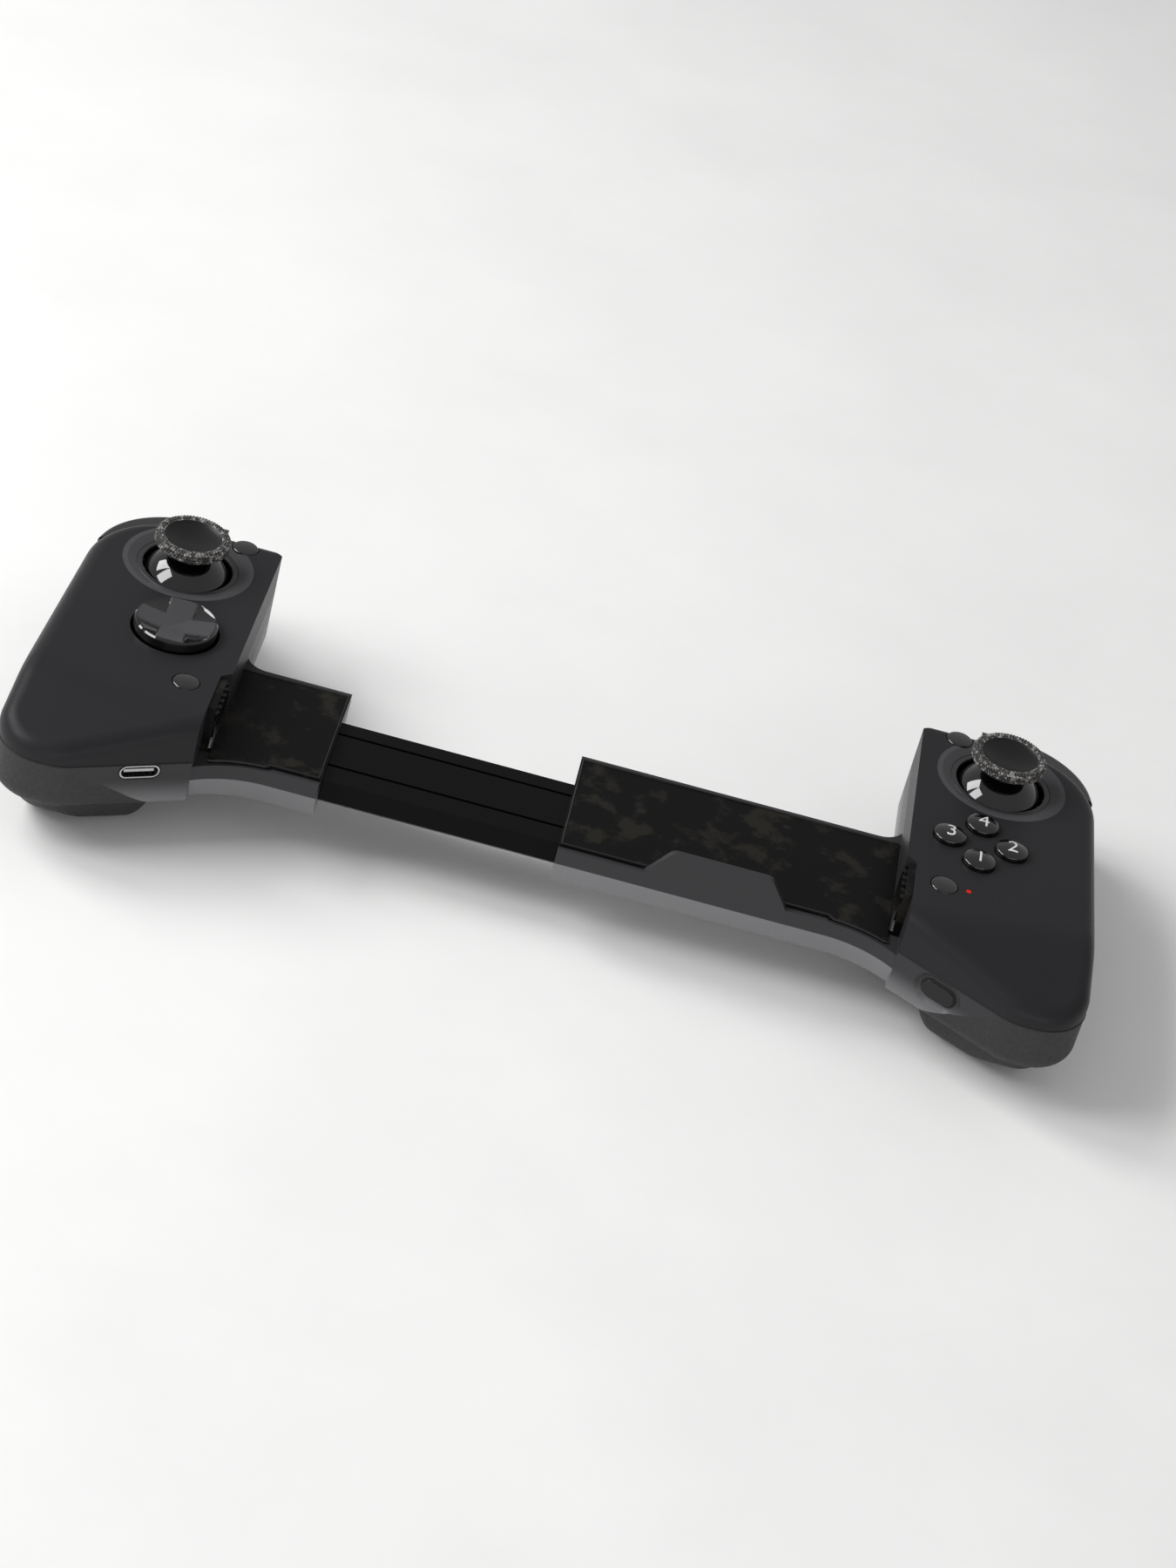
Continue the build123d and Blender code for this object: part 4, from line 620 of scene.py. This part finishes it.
class CONTROLLER_OT_stick_caps(bpy.types.Operator):
    """Thumb caps with a dish, a rounded rim and rows of grip studs"""

    bl_idname = "controller.stick_caps"
    bl_label = "Thumb caps"

    def execute(self, context):
        sizes = context.scene.controller_sizes
        studs = stud_tree()
        for side in SIDES:
            centre, radius, foot, top = middle(f"{side}_stick_cap")
            neck, shoulder, lip = radius * 0.54, radius * 0.9, radius * 0.8
            brim = foot + (top - foot) * 0.42
            rough_foot, rough_lip = foot + (brim - foot) * 0.3, lip * 0.98
            edge = sizes.cap_edge
            side_profile = rounded([
                (0, foot, 0), (neck, foot, 0), (shoulder, brim - edge, edge / 2), (radius, brim, edge),
                (radius, top, edge), (lip, top, edge / 2), (lip - edge / 2, top - edge / 2, 0),
            ])
            dish = bowl(lip - edge / 2, top - edge / 2, sizes.cap_dish)
            mesh = lathe(f"{side}_cap_body", [tuple(p) for p in side_profile] + dish[1:], centre)
            piece = link(f"{side}_cap_body", mesh, finish("stick_cap"), f"{side}_stick")
            mesh.materials.append(finish("cap_rim"))
            for face in mesh.polygons:
                out = math.hypot(face.center.x - centre.x, face.center.y - centre.y)
                if out > rough_lip and face.center.z > rough_foot:
                    face.material_index = 1
            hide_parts(f"{side}_stick_cap")
            rows = [(radius, brim + (top - brim) * share, count) for share, count in SIDE_ROWS]
            rows += [(radius * share, top, count) for share, count in RIM_ROWS]
            points = []
            for row, (ring, level, count) in enumerate(rows):
                for index in range(count):
                    angle = math.tau * (index + row / 2) / count
                    points.append((
                        centre.x + ring * math.cos(angle), centre.y + ring * math.sin(angle), level,
                    ))
            mesh = grown(f"{side}_cap_studs", mesh_from("stud_places", points), studs, {
                "Radius": sizes.cap_stud, "Material": finish("cap_rim"),
            })
            link(f"{side}_cap_studs", mesh, finish("cap_rim"), f"{side}_stick")
        return {"FINISHED"}


class CONTROLLER_OT_stick_domes(bpy.types.Operator):
    """Glossy domes under the caps and the smooth rings round the sticks' holes"""

    bl_idname = "controller.stick_domes"
    bl_label = "Stick domes and rings"

    def execute(self, context):
        for side in SIDES:
            centre, _radius, _foot, top = middle(f"{side}_stick_dome")
            depth, ball, neck, wall = 11.5 * MM, 11.4 * MM, 4.5 * MM, 1.1 * MM
            pivot = top - depth
            start, skirt, steps = math.asin(neck / ball), math.radians(76), 20
            angles = [start + (skirt - start) * i / steps for i in range(steps + 1)]
            outer = [(ball * math.sin(a), pivot + ball * math.cos(a)) for a in angles]
            within = 1 - wall / ball
            inner = [(r * within, pivot + (z - pivot) * within) for r, z in reversed(outer)]
            profile = [(0, top), (neck, top)] + outer + inner + [(0, inner[-1][1])]
            piece = link(
                f"{side}_dome_shell", lathe(f"{side}_dome_shell", profile, centre), finish("stick_dome"),
                f"{side}_stick",
            )
            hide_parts(f"{side}_stick_dome")
            centre, radius, foot, top = middle(f"{side}_stick_ring")
            hole, soft = radius - 1.3 * MM, 0.22 * MM
            section = rounded([
                (hole, foot, 0), (radius, foot, 0), (radius, top, soft), (hole, top, soft), (hole, foot, 0),
            ])
            piece = link(
                f"{side}_ring_trim", lathe(f"{side}_ring_trim", [tuple(p) for p in section], centre, 128),
                finish("stick_ring"), f"{side}_half",
            )
            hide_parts(f"{side}_stick_ring")
        return {"FINISHED"}


class CONTROLLER_OT_round_buttons(bpy.types.Operator):
    """Domed action buttons with numerals, and the small round buttons"""

    bl_idname = "controller.round_buttons"
    bl_label = "Round buttons"

    def execute(self, context):
        crown, small_crown = 0.9 * MM, 0.25 * MM
        for place, text in ACTIONS.items():
            node, body = f"action_button_{place}", f"action_{place}"
            self.button(node, body, f"{place}_action_head", crown, FLANGE_REACH)
            self.numeral(node, body, f"{place}_numeral", text, crown)
        for side in SIDES:
            for place in ("upper", "lower"):
                self.button(f"{side}_{place}_button", f"{side}_{place}", f"{side}_{place}_head", small_crown)
        return {"FINISHED"}

    def button(self, node, body, name, crown, flange=0.0):
        """Head with a soft edge and a crown, down to its flange or stem."""
        edge = bpy.context.scene.controller_sizes.button_edge
        centre, outer, foot, top = middle(node)
        radius = outer - flange
        stem = radius if flange else radius * 0.63
        low, high = foot + FLANGE_LOW, foot + FLANGE_HIGH
        step, steps, shoulder = 0.01 * MM, 14, (radius * 0.8, top - crown * 0.6)
        profile = [tuple(p) for p in rounded([
            (0, foot, 0), (stem, foot, 0), (stem, low, 0), (outer, low, 0), (outer, high, 0),
            (radius, high + step, 0), (radius, top - crown, edge), (*shoulder, 0),
        ])][:-1]
        profile += [p for p in bowl(radius, top - crown, -crown, steps) if p[0] < radius - edge]
        piece = link(name, lathe(name, profile, centre), finish("action_button"), body)
        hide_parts(node)

    def numeral(self, node, body, name, text, crown):
        """Printed numeral that follows the action button's crown."""
        centre, outer, _foot, top = middle(node)
        height = bpy.context.scene.controller_sizes.numeral
        thick, thinner, longest = 0.06 * MM, -0.008 * height, 0.4 * MM
        curve = bpy.data.curves.new(name, "FONT")
        curve.body, curve.size, curve.extrude, curve.offset = text, height, thick, thinner
        curve.align_x, curve.align_y = "CENTER", "CENTER"
        carrier = bpy.data.objects.new(name + "_base", curve)
        bpy.context.scene.collection.objects.link(carrier)
        evaluated = carrier.evaluated_get(bpy.context.evaluated_depsgraph_get())
        mesh = bpy.data.meshes.new_from_object(evaluated)
        bpy.data.objects.remove(carrier)
        shape = bmesh.new()
        shape.from_mesh(mesh)
        bmesh.ops.remove_doubles(shape, verts=shape.verts, dist=MERGE)
        for _ in range(3):
            long_edges = [e for e in shape.edges if e.calc_length() > longest]
            bmesh.ops.subdivide_edges(shape, edges=long_edges, cuts=1, use_grid_fill=True)
            bmesh.ops.triangulate(shape, faces=[f for f in shape.faces if len(f.verts) > 4])
        shape.to_mesh(mesh)
        shape.free()
        xs = [v.co.x for v in mesh.vertices]
        ys = [v.co.y for v in mesh.vertices]
        shift = Vector(((min(xs) + max(xs)) / 2, (min(ys) + max(ys)) / 2, 0))
        ball = ((outer - FLANGE_REACH) ** 2 + crown ** 2) / (2 * crown)
        for vertex in mesh.vertices:
            spot = vertex.co - shift
            drop = ball - math.sqrt(ball ** 2 - spot.x ** 2 - spot.y ** 2)
            vertex.co = Vector((centre.x + spot.x, centre.y + spot.y, top - drop + spot.z))
        link(name, mesh, finish("ink"), body)


class CONTROLLER_OT_direction_pad(bpy.types.Operator):
    """Round direction pad: a shallow dish with a raised cross whose arms rise to the rim"""

    bl_idname = "controller.direction_pad"
    bl_label = "Direction pad"

    def execute(self, context):
        centre, radius, _foot, top = middle("direction_pad")
        disc_foot, rim = 28.6 * MM, radius - 0.9 * MM
        dish, cup, arm, soft = 1.7 * MM, 0.72, 3.0 * MM, 0.35 * MM
        lift, slope = 0.35 * MM, 1.2
        hub = top - dish + lift
        rings, spokes = 30, 192
        points = [Vector((centre.x, centre.y, hub))]
        for ring in range(1, rings + 1):
            r = rim * ring / rings
            for spoke in range(spokes):
                angle = math.tau * spoke / spokes
                x, y = r * math.cos(angle), r * math.sin(angle)
                floor = top - dish * (1 - cup * (r / rim) ** 2)
                across = min(abs(x), abs(y))
                inside = min(max((arm - across) / soft + 0.5, 0), 1)
                ridge = hub + (dish - lift) * (max(abs(x), abs(y)) / rim) ** slope
                points.append(Vector((
                    centre.x + x, centre.y + y, floor + (max(ridge, floor) - floor) * inside,
                )))
        faces = [(0, 1 + i, 1 + (i + 1) % spokes) for i in range(spokes)]
        for ring in range(rings - 1):
            for i in range(spokes):
                a, b = 1 + ring * spokes + i, 1 + ring * spokes + (i + 1) % spokes
                faces.append((a, b, b + spokes, a + spokes))
        edge = [
            (rim + 0.45 * MM, top - 0.12 * MM), (radius - 0.1 * MM, top - 0.45 * MM), (radius, top - MM),
            (radius, disc_foot),
        ]
        last = 1 + (rings - 1) * spokes
        for r, level in edge:
            base = len(points)
            for i in range(spokes):
                angle = math.tau * i / spokes
                points.append(Vector((centre.x + r * math.cos(angle), centre.y + r * math.sin(angle), level)))
            for i in range(spokes):
                follower = (i + 1) % spokes
                faces.append((last + i, last + follower, base + follower, base + i))
            last = base
        faces.append(tuple(last + i for i in range(spokes)))
        mesh = mesh_from("direction_disc", points, faces)
        piece = link("direction_disc", mesh, finish("direction_pad"), "pad_disc", 24)
        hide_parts("direction_pad")
        # Painted reflection: the upward faces of the raised cross take the lighter grey
        mesh.materials.append(finish("cross"))
        for face in mesh.polygons:
            spot = face.center - centre
            across = min(abs(spot.x), abs(spot.y))
            if across < arm and math.hypot(spot.x, spot.y) < rim and face.normal.z > 0.3:
                face.material_index = 1
        return {"FINISHED"}


class CONTROLLER_OT_end_pads(bpy.types.Operator):
    """Curved ribs on the end pads"""

    bl_idname = "controller.end_pads"
    bl_label = "End pad ribs"

    def execute(self, context):
        sizes = context.scene.controller_sizes
        beads = bead_tree()
        low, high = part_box("right_end_pad")
        ribs, steps = 5, 12
        bow, sunk, margin = 1.4 * MM, 0.35 * MM, 0.08
        for side in SIDES:
            paths = []
            for index in range(ribs):
                y = low.y + (high.y - low.y) * (index + 0.5) / ribs
                path = []
                for step in range(steps + 1):
                    share = step / steps
                    bend = math.sin(share * math.pi) * bow
                    level = low.z + (high.z - low.z) * (margin + (1 - 2 * margin) * share)
                    path.append(mirrored(Vector((low.x + sunk, y + bend - bow / 2, level)), side))
                paths.append(path)
            bead(f"{side}_end_ribs", paths, beads, sizes.rib, "pad_rib", f"{side}_half")
        return {"FINISHED"}


class CONTROLLER_OT_floor_pads(bpy.types.Operator):
    """Raised borders of the floor pads, and the pads' ends that fill the wings' curved gussets"""

    bl_idname = "controller.floor_pads"
    bl_label = "Floor pad borders"

    def execute(self, context):
        sizes = context.scene.controller_sizes
        beads = bead_tree()
        for side in SIDES:
            low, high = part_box(f"{side}_floor_pad")
            near, far = sorted((abs(low.x), abs(high.x)))
            inset, depth = 0.5 * MM, 0.5 * MM
            curve = self.gusset_curve(far)
            start = curve[0]
            front = [Vector((near + inset, low.y + inset, 0)), Vector((start.x, low.y + inset, 0))]
            border = [Vector((far, high.y - inset, 0)), Vector((near + inset, high.y - inset, 0))]
            path = [mirrored(p + Vector((0, 0, high.z)), side) for p in border + front + curve[1:]]
            half = f"{side}_half"
            bead(f"{side}_pad_border", [path], beads, sizes.pad_border, "pad_rib", half)
            flat = [start, *curve[1:], Vector((far, low.y, 0)), Vector((start.x, low.y, 0))]
            count = len(flat)
            levels = (high.z - depth, high.z)
            points = [mirrored(p + Vector((0, 0, level)), side) for level in levels for p in flat]
            faces = [tuple(range(count)), tuple(range(count, 2 * count))]
            faces += [(i, (i + 1) % count, (i + 1) % count + count, i + count) for i in range(count)]
            mesh = mesh_from(f"{side}_pad_end", points, faces)
            link(f"{side}_pad_end", mesh, finish("floor_pad"), half)
        return {"FINISHED"}

    def gusset_curve(self, far):
        """Front edge of the pad's end: parallel to the gusset's curve, inside its rim."""
        run, drop, rim = 15.7 * MM, 5.4 * MM, 1.5 * MM
        edge_x, edge_y = 77.7 * MM, -32.7 * MM
        radius = (run ** 2 + drop ** 2) / (2 * drop)
        centre = Vector((edge_x - run, edge_y - radius, 0))
        points, steps = [], 14
        for step in range(steps + 1):
            angle = math.asin(run / radius) * step / steps
            spot = centre + Vector((math.sin(angle), math.cos(angle), 0)) * (radius + rim)
            if spot.x < far:
                points.append(spot)
        return points + [Vector((far, points[-1].y, 0))]


class CONTROLLER_OT_seams(bpy.types.Operator):
    """Dark line between the shells, gaskets round the power button and the charging socket"""

    bl_idname = "controller.seams"
    bl_label = "Seams and gaskets"

    def execute(self, context):
        sizes = context.scene.controller_sizes
        beads = bead_tree()
        outline = rounded([(x * MM, y * MM, r * MM) for x, y, r in GRIP_OUTLINE], steps=16)
        for side in SIDES:
            path = [mirrored(Vector((x, y, SEAM_LEVEL)), side) for x, y in outline]
            bead(f"{side}_seam", [path], beads, sizes.seam, "seam", f"{side}_half")
        along = (FITTING_X - EDGE_START.x) / EDGE_RUN.x
        # Side, name, height, length, width, distance out of the wall and bead radius
        fittings = (
            ("right", "power_gasket", POWER_LEVEL, 8.5, 4.2, -0.62, 0.24),
            ("left", "charge_gasket", CHARGE_LEVEL, 9.2, 3.5, 0.02, 0.16),
        )
        for side, name, level, long_side, short_side, out, radius in fittings:
            half, end = long_side / 2, short_side / 2
            turn = end * 0.999
            slot = rounded(
                [(-half, -end, turn), (half, -end, turn), (half, end, turn), (-half, end, turn)],
                closed=True, steps=10,
            )
            path = [mirrored(edge_point(along + x, out, level + z), side) for x, z in slot]
            bead(name, [path], beads, radius * MM, "seam", f"{side}_half")
        return {"FINISHED"}


class CONTROLLER_OT_trigger_ribs(bpy.types.Operator):
    """Fine ribs across the finger faces of the triggers"""

    bl_idname = "controller.trigger_ribs"
    bl_label = "Trigger ribs"

    def execute(self, context):
        sizes = context.scene.controller_sizes
        beads = bead_tree()
        low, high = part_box("right_trigger")
        foot, reach = 5.62 * MM, 9.2 * MM
        climb = high.z - foot
        bend = (reach ** 2 + climb ** 2) / (2 * reach)
        first, pitch, ribs = 8, 5, 7
        margin, sunk = 3 * MM, 0.08 * MM
        for side in SIDES:
            paths = []
            for index in range(ribs):
                angle = math.radians(first + pitch * index)
                y = high.y - bend + bend * math.cos(angle)
                z = foot + bend * math.sin(angle)
                ends = (low.x + margin, high.x - margin)
                paths.append([mirrored(Vector((x, y - sunk, z)), side) for x in ends])
            lever = f"{side}_trigger_lever"
            bead(f"{side}_trigger_ribs", paths, beads, sizes.trigger_rib, "trigger", lever)
        return {"FINISHED"}


class CONTROLLER_OT_rail_insides(bpy.types.Operator):
    """Return springs and flat cable in the rail, copied as plain pieces in place of the imported nodes"""

    bl_idname = "controller.rail_insides"
    bl_label = "Springs and cable"

    def execute(self, context):
        for node, slot in (("rail_springs", "steel"), ("flat_cable", "cable_film")):
            mesh = NODES[node].data.copy()
            mesh.transform(NODES[node].matrix_world)
            piece = link(f"{node}_run", mesh, finish(node), None)
            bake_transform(piece)
            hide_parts(node)
        return {"FINISHED"}


class CONTROLLER_OT_stage(bpy.types.Operator):
    """Floor, soft lamps, world and the camera at the photograph's angle"""

    bl_idname = "controller.stage"
    bl_label = "Stage"

    def execute(self, context):
        scene = context.scene
        scene.view_settings.view_transform = "Standard"
        self.floor(scene)
        self.lamps(scene)
        self.camera(scene)
        return {"FINISHED"}

    def floor(self, scene):
        """Wide pale floor."""
        reach = 20.0
        mesh = mesh_from("floor", [
            (-reach, -reach, 0), (reach, -reach, 0), (reach, reach, 0), (-reach, reach, 0),
        ], [(0, 1, 2, 3)])
        paint = surface("floor_paint", scene.controller_colours.floor, 0.7, 2.0, 0.004, patch_size=90)
        mesh.materials.append(paint)
        floor = bpy.data.objects.new("floor", mesh)
        clearance = 0.02 * MM
        floor.location.z = -clearance
        scene.collection.objects.link(floor)

    def lamps(self, scene):
        """An even world, two wide soft lamps at the left for the highlights and a weak one in front."""
        world = bpy.data.worlds.new("soft_room")
        world.use_nodes = True
        tree = world.node_tree
        tree.nodes.clear()
        room = add(tree, "ShaderNodeBackground", inputs={"Color": linear("F7F7F8"), "Strength": 0.42})
        add(tree, "ShaderNodeOutputWorld", inputs={"Surface": room.outputs["Background"]})
        scene.world = world
        lamps = (
            ("left_rear", (-0.9, 0.26, 0.8), (0.45, 0.6), 6.5),
            ("left_front", (-0.9, -0.3, 0.8), (0.45, 0.6), 6.5),
            ("front", (0.3, -1.2, 0.3), (1.4, 0.3), 3.0),
        )
        for name, place, sides, power in lamps:
            lamp = bpy.data.lights.new(name + "_lamp", "AREA")
            lamp.shape, lamp.energy = "RECTANGLE", power
            lamp.size, lamp.size_y = sides
            holder = bpy.data.objects.new(name + "_lamp", lamp)
            holder.location = place
            holder.rotation_euler = Vector(place).to_track_quat("Z", "Y").to_euler()
            scene.collection.objects.link(holder)

    def camera(self, scene):
        """Camera in the middle plane, looking down over the front edge, with the photograph's roll."""
        place = Vector((0, -695.2, 490.0)) * MM
        down, roll = math.radians(33.5), math.radians(15)
        back = Vector((0, -math.cos(down), math.sin(down)))
        level, upright = Vector((1, 0, 0)), Vector((0, math.sin(down), math.cos(down)))
        right = level * math.cos(roll) + upright * math.sin(roll)
        top = upright * math.cos(roll) - level * math.sin(roll)
        data = bpy.data.cameras.new("camera")
        data.lens, data.sensor_fit, data.sensor_height = 87.0, "VERTICAL", 36.0
        data.shift_x, data.shift_y = 0.0058, -0.033
        data.clip_start = 0.05
        camera = bpy.data.objects.new("camera", data)
        turn = Matrix((right, top, back)).transposed().to_4x4()
        camera.matrix_world = Matrix.Translation(place) @ turn
        scene.collection.objects.link(camera)
        scene.camera = camera


OPERATORS = (
    CONTROLLER_OT_finishes, CONTROLLER_OT_stick_caps, CONTROLLER_OT_stick_domes, CONTROLLER_OT_round_buttons,
    CONTROLLER_OT_direction_pad, CONTROLLER_OT_end_pads, CONTROLLER_OT_floor_pads, CONTROLLER_OT_seams,
    CONTROLLER_OT_trigger_ribs, CONTROLLER_OT_rail_insides, CONTROLLER_OT_stage,
)


class CONTROLLER_PT_panel(bpy.types.Panel):
    """Sizes, colours and the steps that dress the controller"""

    bl_idname = "CONTROLLER_PT_panel"
    bl_label = "Mobile game controller"
    bl_space_type = "VIEW_3D"
    bl_region_type = "UI"
    bl_category = "Controller"

    def draw(self, context):
        for title, group in (
            ("Sizes", context.scene.controller_sizes), ("Colours", context.scene.controller_colours),
        ):
            box = self.layout.box()
            box.label(text=title)
            for key in group.bl_rna.properties.keys():
                if key not in ("rna_type", "name"):
                    box.prop(group, key)
        steps = self.layout.box()
        steps.label(text="Steps")
        for operator in OPERATORS:
            steps.operator(operator.bl_idname)


CLASSES = (CONTROLLER_PG_colours, CONTROLLER_PG_sizes, *OPERATORS, CONTROLLER_PT_panel)


def register():
    """Registers the classes and their settings on the scene."""
    for made in CLASSES:
        bpy.utils.register_class(made)
    bpy.types.Scene.controller_colours = bpy.props.PointerProperty(type=CONTROLLER_PG_colours)
    bpy.types.Scene.controller_sizes = bpy.props.PointerProperty(type=CONTROLLER_PG_sizes)


def unregister():
    """Takes the settings and the classes off again."""
    del bpy.types.Scene.controller_sizes
    del bpy.types.Scene.controller_colours
    for made in reversed(CLASSES):
        bpy.utils.unregister_class(made)


def main():
    """Dresses the frame step by step."""
    register()
    for operator in OPERATORS:
        group, name = operator.bl_idname.split(".")
        getattr(getattr(bpy.ops, group), name)()


if __name__ == "__main__":
    main()
